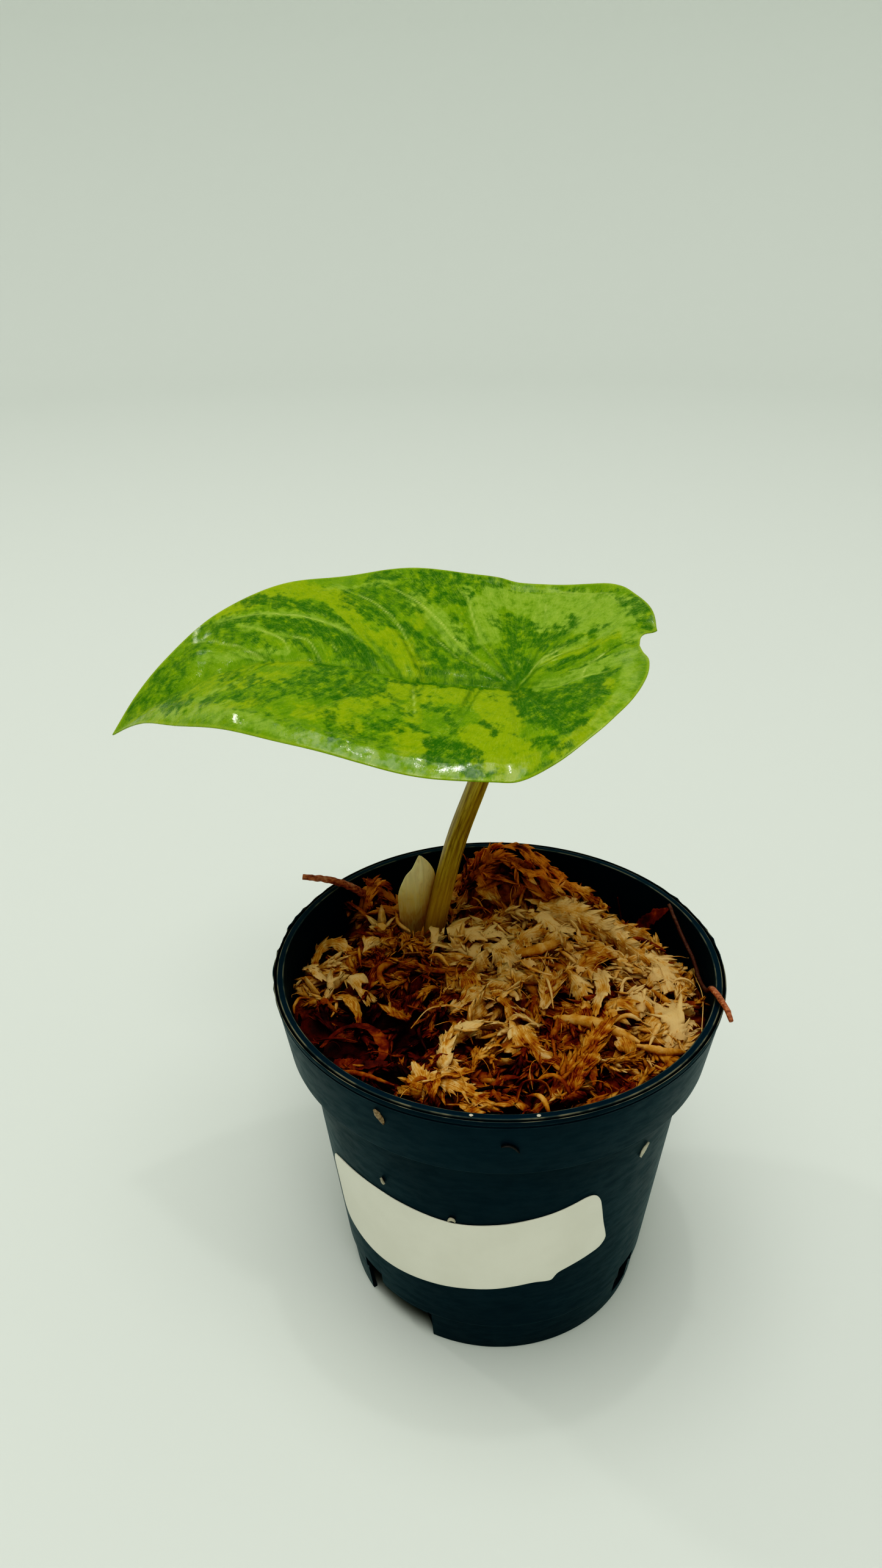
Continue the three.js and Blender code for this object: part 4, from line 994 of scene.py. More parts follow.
SHEATH_TONES = ((0.0, (0.45, 0.28, 0.06)), (0.5, (0.72, 0.59, 0.215)), (1.0, (0.88, 0.79, 0.43)))
SHEATH_FIBRE = (0.64, 0.57, 0.3, 1)
SHEATH_PATCH = (0.42, 0.31, 0.11, 1)


def sheath_finish():
    """Papery bract, brown at its foot and cream above, with fine upright fibres."""
    material, tree, shader = finish_named("papery_sheath", roughness=0.5, specular_ior_level=0.3,
                                          subsurface_weight=0.15, subsurface_scale=0.001)
    spot = place(tree)
    fibres = streaky(spot, (2600, 2600, 160), 4, 0.6)
    patches = noise(spot, 420, 3, 0.5)
    colour = ramp(between(parts_of(spot)[2], 0.07, 0.086), SHEATH_TONES)
    colour = blend(between(fibres, 0.35, 0.65, 0, 0.45), colour, SHEATH_FIBRE)
    colour = blend(between(patches, 0.5, 0.75, 0, 0.4), colour, SHEATH_PATCH)
    dress(shader, base_color=colour, normal=bump(fibres, 0.4, 0.0004))
    return material


MOSS_RAMP = (
    (0.00, (0.01, 0.001, 0.001)), (0.14, (0.062, 0.004, 0.001)), (0.27, (0.152, 0.018, 0.002)),
    (0.38, (0.3, 0.07, 0.004)), (0.5, (0.43, 0.15, 0.011)), (0.64, (0.57, 0.258, 0.032)),
    (0.8, (0.71, 0.392, 0.095)), (1.00, (0.82, 0.58, 0.25)),
)
MOSS_RUST_LIGHT = (0.9, 0.34, 0.05, 1)


def moss_finish():
    """Dry moss from black brown to cream, by the tone stored on each strand; leaf tips are lighter, and the
    back clumps are painted a light rust that stands in for light the leaf keeps off.
    """
    material, tree, shader = finish_named("dry_moss", roughness=0.6, specular_ior_level=0.2)
    spot = place(tree)
    blotches = noise(spot, 300, 3, 0.6)
    fibre = noise(spot, 2200, 3, 0.6)
    tone = stored(tree, "tone")
    threads = streaky(flat_map(tree, "strand"), (2.4, 0.35, 1), 3, 0.6)
    swing = swung(((stored(tree, "shade"), 0.18), (blotches, 0.95), (fibre, 0.2), (threads, 1.0)))
    swing = maths("MULTIPLY_ADD", stored(tree, "tip"), 0.07, swing)
    value = maths("MULTIPLY_ADD", swing, between(tone, 0.0, 0.45, 0.4, 1.15), tone)
    colour = ramp(value, MOSS_RAMP)
    # Painted light: the back clumps blend to a light rust where the leaf shades them
    for (x, y), (reach_x, reach_y), share in RUST_AND_LIGHT_CLUMPS:
        centre = {"Vector": spot, "Location": (x * MM, y * MM, 0),
                  "Scale": (reach_x * MM, reach_y * MM, 100)}
        moved = node("ShaderNodeMapping", centre, vector_type="TEXTURE").outputs[0]
        away = node("ShaderNodeVectorMath", {0: moved}, operation="LENGTH").outputs["Value"]
        rust_light = times(between(away, 1.1, 0.6, 0, share), between(value, 0.2, 0.8))
        colour = blend(rust_light, colour, MOSS_RUST_LIGHT)
    relief = bump(threads, 0.4, 0.0004, bump(fibre, 0.25, 0.0004))
    dress(shader, base_color=colour, normal=relief)
    through_light = node("ShaderNodeBsdfTranslucent", {"Color": colour, "Normal": relief}).outputs[0]
    mixed = node("ShaderNodeMixShader", {0: 0.37, 1: shader.outputs[0], 2: through_light}).outputs[0]
    tree.links.new(mixed, tree.nodes["Material Output"].inputs["Surface"])
    return material


BARK_TONES = ((0.3, (0.1, 0.024, 0.009)), (0.5, (0.3, 0.085, 0.032)), (0.68, (0.48, 0.2, 0.09)))
BARK_PALE = (0.45, 0.26, 0.16, 1)
BARK_SHADE = (0.02, 0.006, 0.003, 1)


def bark_finish():
    """Dry red-brown bark; the end of the strip inside the pot is painted nearly black, as shade."""
    material, tree, shader = finish_named("red_bark", roughness=0.6, specular_ior_level=0.35)
    spot = place(tree)
    grain = streaky(spot, (900, 2200, 2200), 4, 0.6)
    blotches = noise(spot, 500, 2, 0.5)
    colour = blend(between(blotches, 0.55, 0.75, 0, 0.5), ramp(grain, BARK_TONES), BARK_PALE)
    # Painted shade on the strip inside the pot
    colour = blend(times(stored(tree, "strip_shade"), 0.85), colour, BARK_SHADE)
    dress(shader, base_color=colour, normal=bump(grain, 0.6, 0.0004))
    return material


HUSK_TONES = ((0.35, (0.09, 0.05, 0.022)), (0.65, (0.33, 0.24, 0.13)))
HUSK_PALE = (0.56, 0.54, 0.42, 1)
HUSK_BLACK = (0.01, 0.008, 0.006, 1)


def husk_finish():
    """Dry husk, from black through brown to pale by the tone stored on it."""
    material, tree, shader = finish_named("dry_husk", roughness=0.6)
    tone = stored(tree, "tone")
    colour = ramp(noise(place(tree), 1800, 3, 0.6), HUSK_TONES)
    colour = blend(between(tone, 0.7, 1.0, 0, 0.85), colour, HUSK_PALE)
    colour = blend(between(tone, 0.3, 0.0), colour, HUSK_BLACK)
    dress(shader, base_color=colour)
    return material


CORM_TONES = ((0.3, (0.06, 0.03, 0.015)), (0.7, (0.3, 0.18, 0.09)))


def corm_finish():
    """Rough brown skin with level rings."""
    material, tree, shader = finish_named("rough_corm", roughness=0.8)
    rings = streaky(place(tree), (300, 300, 1500), 4, 0.6)
    dress(shader, base_color=ramp(rings, CORM_TONES), normal=bump(rings, 0.6, 0.0008))
    return material


POT_BLUE = ((0.0003, 0.0135, 0.0225, 1), (0.0005, 0.0165, 0.0265, 1))
POT_DUST = (0.16, 0.16, 0.13, 1)
POT_WEAR_AND_HIGHLIGHT = (0.19, 0.17, 0.11, 1)
POT_GROOVE_SHADE = (0.0, 0.001, 0.001, 1)

# Edges of the rim, both worn and painted with a highlight: radius, width and how light they are
WORN_AND_HIGHLIT_EDGES = ((POT["mouth_radius"] + 0.15, 0.18, 0.5), (RIM_GROOVE[0] - 0.12, 0.18, 0.7),
              (RIM_GROOVE[1] - 0.15, 0.1, 0.8))


def plastic_finish():
    """Satin moulded plastic, very dark blue green, with faint turning lines, scuffs and dust; the rim's
    edges are worn and painted with highlights, and its groove is painted with shade.
    """
    material, tree, shader = finish_named("pot_plastic", roughness=0.5, specular_ior_level=0.12,
                                          specular_tint=(0.45, 0.9, 1.0, 1), sheen_weight=0.03,
                                          sheen_roughness=0.3, sheen_tint=(0.45, 0.95, 0.95, 1))
    spot = place(tree)
    colour = blend(between(noise(spot, 60, 3, 0.55), 0.35, 0.7), *POT_BLUE)
    dust = noise(spot, 3000, 2, 0.5)
    colour = blend(between(dust, 0.74, 0.82, 0, 0.12), colour, POT_DUST)
    x, y, z = parts_of(spot)
    radius = axis_distance(x, y)
    # Painted highlights along the rim's edges, which also show wear
    wear_and_highlight = between(noise(spot, 260, 2, 0.5), 0.4, 0.6, 0.25, 1)
    near_top = times(wear_and_highlight, between(z, 0.0755, 0.0758))
    for ring, width, light in WORN_AND_HIGHLIT_EDGES:
        gap = maths("ABSOLUTE", maths("SUBTRACT", radius, ring * MM))
        edge = times(between(gap, width * MM, 0.3 * width * MM, 0, light), near_top)
        colour = blend(edge, colour, POT_WEAR_AND_HIGHLIGHT)
    # Painted shade at the bottom of the rim's groove
    past_inner = between(radius, (RIM_GROOVE[0] + 0.02) * MM, (RIM_GROOVE[0] + 0.06) * MM)
    before_outer = between(radius, (RIM_GROOVE[1] - 0.26) * MM, (RIM_GROOVE[1] - 0.32) * MM)
    groove_shade = times(times(past_inner, before_outer), between(z, 0.075, 0.0752))
    colour = blend(groove_shade, colour, POT_GROOVE_SHADE)
    lines = streaky(spot, (8, 8, 1500), 2, 0.5)
    pits = noise(spot, 1800, 2, 0.5)
    scuffs = streaky(spot, (220, 220, 700), 4, 0.65)
    relief = bump(pits, 0.05, 0.0002, bump(lines, 0.012, 0.0002))
    dress(shader, base_color=colour, normal=relief, roughness=between(scuffs, 0.35, 0.7, 0.46, 0.56))
    return material


PAPER_TONES = ((0.73, 0.71, 0.6, 1), (0.77, 0.75, 0.64, 1))
PAPER_FIBRE = (0.62, 0.61, 0.5, 1)


def paper_finish():
    """Matt off-white paper with faint clouds and fibres."""
    material, tree, shader = finish_named("sticker_paper", roughness=0.55, specular_ior_level=0.3)
    spot = place(tree)
    fibre = noise(spot, 2500, 3, 0.6)
    colour = blend(between(noise(spot, 90, 3, 0.5), 0.3, 0.7), *PAPER_TONES)
    colour = blend(between(fibre, 0.62, 0.8, 0, 0.25), colour, PAPER_FIBRE)
    dress(shader, base_color=colour, normal=bump(fibre, 0.12, 0.0002))
    return material


# Pot

def side_radius(z):
    slope = (POT["shoulder_radius"] - POT["waist_radius"]) / (POT["collar_bottom"] - POT["foot_height"])
    return POT["waist_radius"] + slope * (z - POT["foot_height"])


def rounded(profile, radius):
    """The (r, z) profile with each corner inside it turned into a small arc."""
    points = [np.array(profile[0], float)]
    for before, corner, after in zip(profile, profile[1:], profile[2:]):
        p, c, n = (np.array(v, float) for v in (before, corner, after))
        reach = min(radius, 0.45 * np.linalg.norm(p - c), 0.45 * np.linalg.norm(n - c))
        a = c + (p - c) / np.linalg.norm(p - c) * reach
        b = c + (n - c) / np.linalg.norm(n - c) * reach
        for u in (0, 0.33, 0.67, 1):
            points.append((1 - u)**2 * a + 2 * u * (1 - u) * c + u**2 * b)
    points.append(np.array(profile[-1], float))
    return np.array(points)


def pot_profile():
    rim_under = POT["height"] - POT["lip_depth"]
    groove = 0.35
    wall = POT["wall"]
    return rounded((
        (0, 0), (POT["pad_radius"], 0), (POT["pad_radius"], POT["foot_height"]),
        (POT["waist_radius"] - wall, POT["foot_height"]), (POT["foot_radius"] - wall, 0),
        (POT["foot_radius"], 0), (POT["waist_radius"] - groove, POT["foot_height"]),
        (POT["waist_radius"], POT["foot_height"] + groove), (POT["shoulder_radius"], POT["collar_bottom"]),
        (POT["collar_bottom_radius"], POT["collar_bottom"]), (POT["collar_top_radius"], rim_under - 0.4),
        (POT["lip_radius"], rim_under + 0.3), (POT["lip_radius"], POT["height"] - 0.1),
        (RIM_GROOVE[1], POT["height"] - 0.1), (RIM_GROOVE[1] - 0.05, POT["height"] - 0.9),
        (RIM_GROOVE[0] + 0.05, POT["height"] - 0.9), (RIM_GROOVE[0], POT["height"]),
        (POT["mouth_radius"], POT["height"]), (COLLAR_INNER, LEDGE_TOP),
        (POT["shoulder_radius"] - wall, LEDGE_TOP), (side_radius(FLOOR_TOP) - wall, FLOOR_TOP),
        (0, FLOOR_TOP),
    ), 0.3)


def sector(from_azimuth, to_azimuth, inner, outer, low, high):
    """A block between two azimuths, two radii and two heights, as a cutter."""
    corners = ((inner, low), (outer, low), (outer, high), (inner, high))
    azimuths = np.linspace(from_azimuth, to_azimuth, 9)
    points, faces = closed_skin([[polar(azimuth, r, z) for r, z in corners] for azimuth in azimuths])
    return face_out(piece_of("cutter", points, faces, smooth=False))


def drum(centre, radius, height, sides=20):
    """An upright cylinder, as a cutter."""
    turn = np.linspace(0, 2 * np.pi, sides, endpoint=False)
    rows = [np.stack([centre[0] + radius * np.cos(turn), centre[1] + radius * np.sin(turn),
                      np.full(sides, centre[2] + side * height / 2)], -1) for side in (-1, 1)]
    points, faces = closed_skin(rows)
    return face_out(piece_of("cutter", points, faces, smooth=False))


def cut_away(piece, cutters):
    """Takes the cutters out of a piece with one exact difference each."""
    for cutter in cutters:
        modifier = piece.modifiers.new("cut", "BOOLEAN")
        modifier.operation = "DIFFERENCE"
        modifier.solver = "EXACT"
        modifier.object = cutter
    baked(piece)
    for cutter in cutters:
        bpy.data.objects.remove(cutter)
    return piece


def build_pot(finish):
    """The pot turned from its profile, with the rim's flash, and its openings cut out."""
    profile = pot_profile()
    sides = POT["sides"]
    azimuth = np.linspace(0, 360, sides, endpoint=False)
    rows = []
    for r, z in profile[1:-1]:
        radius = np.full(sides, r)
        if r > POT["collar_top_radius"] + 0.1 and z > POT["height"] - 2:
            flash = waves(azimuth * 0.6, azimuth * 0, 5, 3.5, 3)
            where = sum(np.exp(-((azimuth - middle) / spread)**2) for middle, spread in RIM_FLASH)
            radius = radius - FLASH_DEPTH + FLASH_DEPTH * np.clip(flash * where * 1.6, -0.6, 1)
        rows.append(polar(azimuth, radius, z))
    points, faces = closed_skin(rows)
    points[-2:] = [[0, 0, profile[0][1]], [0, 0, profile[-1][1]]]
    pot = face_out(piece_of("pot_shell", points, faces))
    cutters = []
    inner, outer = POT["foot_radius"] - CUTTER_REACH, POT["waist_radius"] + CUTTER_REACH
    for openings in (FOOT_NOTCHES, CORNER_SLOTS):
        for middle in openings["azimuths"]:
            cutters.append(sector(middle - openings["half_width"], middle + openings["half_width"],
                                  inner, outer, openings["low"], openings["high"]))
    for k in range(FLOOR_HOLES["count"]):
        turn = k * 360 / FLOOR_HOLES["count"] + FLOOR_HOLES["turn"]
        cutters.append(drum(polar(turn, FLOOR_HOLES["ring"], FLOOR_TOP), FLOOR_HOLES["radius"], 6))
    smoothed(cut_away(pot, cutters))
    pot.data.set_sharp_from_angle(angle=math.radians(32))
    return finished(pot, finish, "pot_plastic", "pot")


def build_label(finish):
    """A thin sticker that follows the pot's side: rings from a line down its middle to its outline."""
    outline = smooth_line(LABEL_OUTLINE + LABEL_OUTLINE[:1], 421)[:-1]
    (low_az, low_z), (high_az, high_z) = LABEL_SPINE
    spine_az = np.clip(outline[:, 0], low_az, high_az)
    spine = np.stack([spine_az, np.interp(spine_az, (low_az, high_az), (low_z, high_z))], -1)
    shares = np.array([0, 0.25, 0.5, 0.7, 0.85, 0.95, 0.985, 1.0])
    flat = spine[None] + (outline - spine)[None] * shares[:, None, None]
    rings, around = flat.shape[:2]
    azimuth, z = flat[..., 0], flat[..., 1]
    rounded_rim = np.array([1, 1, 1, 1, 1, 1, 0.9, 0.45])[:, None]
    ripple = 0.04 * waves(azimuth * 0.62, z, 9, 14, 2)
    front = polar(azimuth, side_radius(z) + LABEL_GAP + LABEL_THICKNESS * rounded_rim + ripple, z)
    back = polar(outline[:, 0], side_radius(outline[:, 1]) + LABEL_BACK_GAP, outline[:, 1])
    back_middle = polar(spine[:, 0], side_radius(spine[:, 1]) + LABEL_BACK_GAP, spine[:, 1])
    points = np.vstack([front.reshape(-1, 3), back, back_middle])
    label = face_out(piece_of("blank_sticker", points, skin_faces(rings + 2, around)))
    merge_close(label, 0.001)
    label.data.set_sharp_from_angle(angle=math.radians(50))
    return finished(label, finish, "sticker_paper", "label")


# Leaf

def blade_shape(s, t):
    """The blade's height without its veins: midrib line, raised far side and drooping near side."""
    width = through(LEAF_NEAR_WIDTH, s)
    share = np.abs(t) / width
    near = -LEAF_NEAR_DROOP * width * (0.45 * share + 0.55 * share**3)
    hook = 1.8 * np.exp(-((s + 26)**2 + (t - 5.5)**2) / 9)
    far = through(LEAF_FAR_SLOPE, s) * t - hook
    return through(LEAF_MIDRIB, s) + np.where(t >= 0, far, near)


def blade_veins(s, t):
    """How deep the veins dent the blade, how close each point is to one, and where painted shade lies
    beside the veins and in the creases.
    """
    groove = np.zeros(s.shape)
    rib = np.zeros(s.shape)
    crease_shade = np.zeros(s.shape)
    for vein in LEAF_VEINS:
        gap, along = line_gap(s, t, vein)
        fade = 1 - along
        sharp = fade**1.6 * ease(0.02, 0.12, along)
        dent = (fade**1.3 * 0.36 * np.exp(-(gap / 1.4)**2) + 0.34 * sharp * np.exp(-(gap / 0.4)**2)
                - 0.16 * sharp * np.exp(-((gap - 1.1) / 0.5)**2))
        groove = np.maximum(groove, dent)
        rib = np.maximum(rib, (0.35 + 0.65 * fade) * np.exp(-(gap / 0.55)**2))
        crease_shade = np.maximum(crease_shade, fade**1.2 * np.exp(-((gap - 0.75) / 0.4)**2))
    for run in BACK_CREASES:
        gap, along = line_gap(s, t, run)
        fade = np.sin(np.pi * np.clip(along, 0.02, 0.98))
        groove = np.maximum(groove, 0.42 * fade * np.exp(-(gap / 0.5)**2))
        crease_shade = np.maximum(crease_shade, fade * np.exp(-(gap / 0.35)**2))
    to_tip = np.clip(s / LEAF_MIDRIB[-1][0], 0, 1)
    wander = 0.5 * np.exp(-((s - 12) / 9)**2) - 0.9 * np.exp(-((s - 22) / 5)**2) * 0.6
    begun = ease(-1.5, 0.5, s)
    midrib = (1 - to_tip) * (0.75 * np.exp(-(t / 1.9)**2) + 0.3 * np.exp(-((t - wander) / 0.5)**2)) * begun
    rib = np.maximum(rib, (1 - 0.6 * to_tip) * np.exp(-(t / 1.0)**2) * begun)
    crease_shade = np.maximum(crease_shade, 0.9 * (1 - to_tip)**1.5 * np.exp(-((t - wander) / 0.3)**2) * ease(0, 3, s))
    return np.maximum(groove, midrib), rib, crease_shade


def blade_edge():
    """Evenly spaced points round the margin, from the tip along the far side and back."""
    lines = (LEAF_FAR_EDGE, LEAF_NOTCH, LEAF_NEAR_EDGE)
    fine = [smooth_line(line, 400) for line in lines]
    lengths = [np.linalg.norm(np.diff(f, axis=0), axis=1).sum() for f in fine]
    counts = [max(round(LEAF_COLUMNS * length / sum(lengths)), 8) for length in lengths]
    return np.vstack([smooth_line(line, count + 1)[:-1] for line, count in zip(lines, counts)])


def margin_inset(s, t, edge):
    """Distance from each point to the margin."""
    best = np.full(s.shape, 1e9)
    for a, b in zip(edge[::4], np.roll(edge[::4], -1, axis=0)):
        best = np.minimum(best, segment_gap(s, t, a, b)[0])
    return best


def blade_height(s, t, inset):
    """The finished upper face: shape, veins, pillowed panels between them and the rolled margin."""
    groove, _, _ = blade_veins(s, t)
    panels = 0.12 * waves(s, t, 3, 9, 2) * ease(0, 4, inset)
    ripples = 0.22 * waves(s * 0.9, t * 0.5, 11, 22, 1) * (1 - ease(0, 7, inset))
    near = ease(0, 4, -t) * ease(-14, 0, s) * (1 - ease(62, 74, s))
    roll = -0.75 * near * np.clip(1 - inset / 3.2, 0, 1)**2
    bead = 0.22 * near * np.exp(-((inset - 3.4) / 1.0)**2)
    far = ease(0, 6, t) * ease(-26, -12, s) * (1 - ease(2, 12, s))
    fold = far * (0.45 * np.clip(1 - inset / 1.9, 0, 1) - 0.22 * np.exp(-((inset - 2.0) / 0.5)**2))
    return blade_shape(s, t) - groove + panels + ripples + roll + bead + fold


def area_field(s, t, areas):
    """1 well inside the areas, 0 at their edges and below 0 outside; weaker areas stay lower."""
    drift = 0.55
    s, t = s + drift * waves(s, t, 51, 4, 2), t + drift * waves(s, t, 52, 4, 2)
    field = np.full(s.shape, -2.0)
    for strength, half, line in areas:
        gap, _ = line_gap(s, t, line)
        field = np.maximum(field, np.clip((half * 1.15 - gap) / 1.0, -2, 0.72) + (strength - 1) * 0.8)
    return field


def pale_lines(s, t):
    """How strongly each point lies on one of the thin pale lines, which fade at their ends."""
    shown = np.zeros(len(s))
    for strength, run in PALE_LINES:
        gap, along = line_gap(s, t, run)
        fade = 0.35 + 0.65 * np.sin(np.pi * along)
        shown = np.maximum(shown, 0.85 * strength * np.exp(-(gap / 0.18)**2) * fade)
    return shown


def vein_grain(s, t):
    """Coordinates across and along the side veins, so that the marbling streaks follow them."""
    share = np.abs(t) / (through(LEAF_NEAR_WIDTH, s) + 0.5)
    foot = s - (8 * share + 18 * share**2)
    turn = np.arctan2(t, s + 0.001) * 16
    reach = np.hypot(s, t)
    straight = ease(2, 16, foot)
    across = turn * (1 - straight) + (foot + np.sign(t) * 40) * straight
    return across, reach


def build_leaf(finish):
    """Two faces of rings from the midrib to the margin, joined by a rim, with the areas stored on them."""
    edge = blade_edge()
    columns = len(edge)
    spine = np.stack([np.clip(edge[:, 0] * 0.93, -12, 70), np.zeros(columns)], -1)

    def face(rows):
        """Rings from the spine out to just inside the edge, closer together near it."""
        share = (1 - (1 - np.linspace(0, 1, rows + 1))**1.12) * 0.996
        return spine[None] + (edge - spine)[None] * share[:, None, None]

    upper = face(LEAF_ROWS)
    lower = face(LEAF_UNDER_ROWS)
    plan = np.vstack([upper.reshape(-1, 2), edge, lower.reshape(-1, 2)])
    s, t = plan[:, 0], plan[:, 1]
    inset = margin_inset(s, t, edge)
    h = blade_height(s, t, inset)
    step = 0.25
    slope_s = (blade_height(s + step, t, inset) - blade_height(s - step, t, inset)) / (2 * step)
    slope_t = (blade_height(s, t + step, inset) - blade_height(s, t - step, inset)) / (2 * step)
    normal = np.stack([slope_s, -slope_t, np.ones(len(s))], -1)
    normal /= np.linalg.norm(normal, axis=1)[:, None]
    x0, y0, z0 = LEAF_JOINT
    points = np.stack([x0 - s, y0 + t, z0 + h], -1)
    _, rib, crease_shade = blade_veins(s, t)
    thick = LEAF_THICKNESS * (0.55 + 0.45 * ease(0, 3, inset)) + 0.45 * rib * ease(0, 3, inset)
    uppers = upper.shape[0] * columns
    start = uppers + columns
    points[start:] -= normal[start:] * thick[start:, None]
    points[uppers:start] -= normal[uppers:start] * thick[uppers:start, None] * 0.5
    faces = skin_faces(upper.shape[0], columns)
    ring = (upper.shape[0] - 1) * columns
    last = start + (lower.shape[0] - 1) * columns
    for i in range(columns):
        j = (i + 1) % columns
        faces.append((ring + i, ring + j, uppers + j, uppers + i))
        faces.append((uppers + i, uppers + j, last + j, last + i))
    faces += [tuple(reversed(f)) for f in skin_faces(lower.shape[0], columns, start)]
    leaf = piece_of("leaf_blade_fine", points, faces)
    stores = {"dark": area_field(s, t, DARK_AREAS), "lime": area_field(s, t, LIME_AREAS),
              "pale": area_field(s, t, PALE_AREAS), "line": pale_lines(s, t), "inset": inset, "rib": rib,
              "crease_shade": crease_shade, "under": np.arange(len(s)) >= start}
    for name, values in stores.items():
        give_values(leaf, name, values)
    give_map(leaf, "plan", s, t)
    give_map(leaf, "grain", *vein_grain(s, t))
    leaf.data.validate()
    merge_close(leaf, 0.0004)
    return finished(face_out(leaf), finish, "leaf", "leaf_blade")


# Stalk and sheath

def build_stalk(finish):
    """A slightly ridged rod that flares into the blade's underside."""
    steps, sides = 150, 40
    share = np.linspace(0, 1, steps)
    radius = STALK_RADII[0] + (STALK_RADII[1] - STALK_RADII[0]) * share
    radius = radius + 0.5 * np.clip((share - 0.94) / 0.06, 0, 1)**2
    turn = np.linspace(0, 2 * np.pi, sides, endpoint=False)
    ridges = 1 + 0.022 * np.sin(turn * 7 + 1)[None] + 0.015 * np.sin(turn * 11)[None]
    rows = round_rows(smooth_line(STALK_PATH, steps), turn, radius[:, None] * ridges)
    points, faces = closed_skin(rows)
    s, t = LEAF_JOINT[0] - points[:, 0], points[:, 1] - LEAF_JOINT[1]
    far_from_margin = np.full(len(s), 20.0)
    inside_blade = LEAF_JOINT[2] + blade_height(s, t, far_from_margin) - STALK_SUNK
    points[:, 2] = np.minimum(points[:, 2], inside_blade)
    # The middle of the top's cap is sunk too, or its facets would bridge the midrib's groove
    points[-1, 2] -= STALK_CAP_SUNK
    stalk = face_out(piece_of("leaf_stalk", points, faces))
    give_round_map(stalk, turn, share * STALK_LENGTH)
    return finished(stalk, finish, "stalk", "petiole")


def build_sheath(finish):
    """A thin pointed bract, cupped round the stalk, with a faint keel and a wavy surface."""
    steps, across = 60, 25
    knots = np.linspace(0, 1, len(SHEATH))
    share = np.linspace(0, 1, steps)
    line = np.stack([through(list(zip(knots, [p[0][k] for p in SHEATH])), share) for k in range(3)], -1)
    half = through(list(zip(knots, [p[1] for p in SHEATH])), share)
    curl = through(list(zip(knots, [p[2] for p in SHEATH])), share)
    along = np.array([math.cos(SHEATH_TURN), math.sin(SHEATH_TURN), 0])
    back = np.array([-math.sin(SHEATH_TURN), math.cos(SHEATH_TURN), 0])
    u = np.linspace(-1, 1, across)
    wave = 0.16 * waves(share[:, None] * 22, u[None] * 3, 21, 7, 2)
    bow = curl[:, None] * u[None]**2 + wave - 0.12 * np.exp(-(u[None] / 0.12)**2)
    middle = line[:, None] + along * (half[:, None] * u[None])[..., None] + back * bow[..., None]
    thin = 0.16 * (1 - 0.6 * np.abs(u))[None, :, None] + 0 * middle[..., :1]
    rows = np.concatenate([middle - back * thin, (middle + back * thin)[:, ::-1]], 1)
    points, faces = closed_skin(rows)
    sheath = face_out(piece_of("papery_sheath", points, faces))
    return finished(sheath, finish, "sheath", "sheath")


# Moss

def moss_top(x, y):
    """Height of the bed's top at a place."""
    azimuth = np.degrees(np.arctan2(x, -y))
    share = np.clip(np.hypot(x, y) / COLLAR_INNER, 0, 1)
    z = MOSS_MIDDLE + (through(MOSS_EDGE, azimuth) - MOSS_MIDDLE) * share**3
    for (cx, cy), (wx, wy), rise in MOSS_TUFTS:
        z = z + rise * np.exp(-(((x - cx) / wx)**2 + ((y - cy) / wy)**2) / 2)
    return z


def moss_tone(x, y):
    """Lightness of the moss at a place, from the named areas round it."""
    weight = 0.02
    total = PLAIN_TONE * weight
    for (cx, cy), reach, tone in MOSS_TONES:
        w = math.exp(-((x - cx)**2 + (y - cy)**2) / reach**2)
        weight += w
        total += w * tone
    return total / weight


def mouth_room(z):
    """Radius inside the pot's wall at a height, less a little clearance."""
    share = np.clip((z - LEDGE_TOP) / (POT["height"] - LEDGE_TOP), 0, 1)
    return COLLAR_INNER + (POT["mouth_radius"] - COLLAR_INNER) * share - MOUTH_ROOM


def build_moss_bed(finish):
    """The packed moss under the strands, toned darker as painted shade between them: a closed body that
    fills the pot.
    """
    columns, rings = 180, 56
    azimuth = np.linspace(-180, 180, columns, endpoint=False)
    low = FLOOR_TOP + BED_ROOM
    ledge = LEDGE_TOP + BED_ROOM
    wall = polar(azimuth, COLLAR_INNER - BED_ROOM, 0)
    edge_z = np.maximum(moss_top(wall[:, 0], wall[:, 1]) - 1.2, LEDGE_TOP + 1)
    edge_r = mouth_room(edge_z)
    loops = [polar(azimuth, side_radius(low) - POT["wall"] - BED_ROOM, low),
             polar(azimuth, POT["shoulder_radius"] - POT["wall"] - BED_ROOM, ledge),
             polar(azimuth, COLLAR_INNER - BED_ROOM, ledge), polar(azimuth, edge_r, edge_z)]
    for ring in range(1, rings):
        flat = polar(azimuth, edge_r * (1 - ring / rings), 0)
        x, y = flat[:, 0], flat[:, 1]
        lumps = 1.1 * waves(x, y, 31, 6, 3) + 0.35 * waves(x, y, 32, 1.6, 2)
        flat[:, 2] = moss_top(x, y) - 1.6 + lumps * min(ring / 3, 1)
        loops.append(flat)
    points, faces = closed_skin(loops)
    bed = face_out(piece_of("moss_bed_core", points, faces))
    # The bed is painted darker than the strands, as the shade in the gaps between them
    give_tone(bed, [moss_tone(x, y) * 0.42 + 0.05 for x, y, _ in points])
    return finished(bed, finish, "moss", "moss_bed")


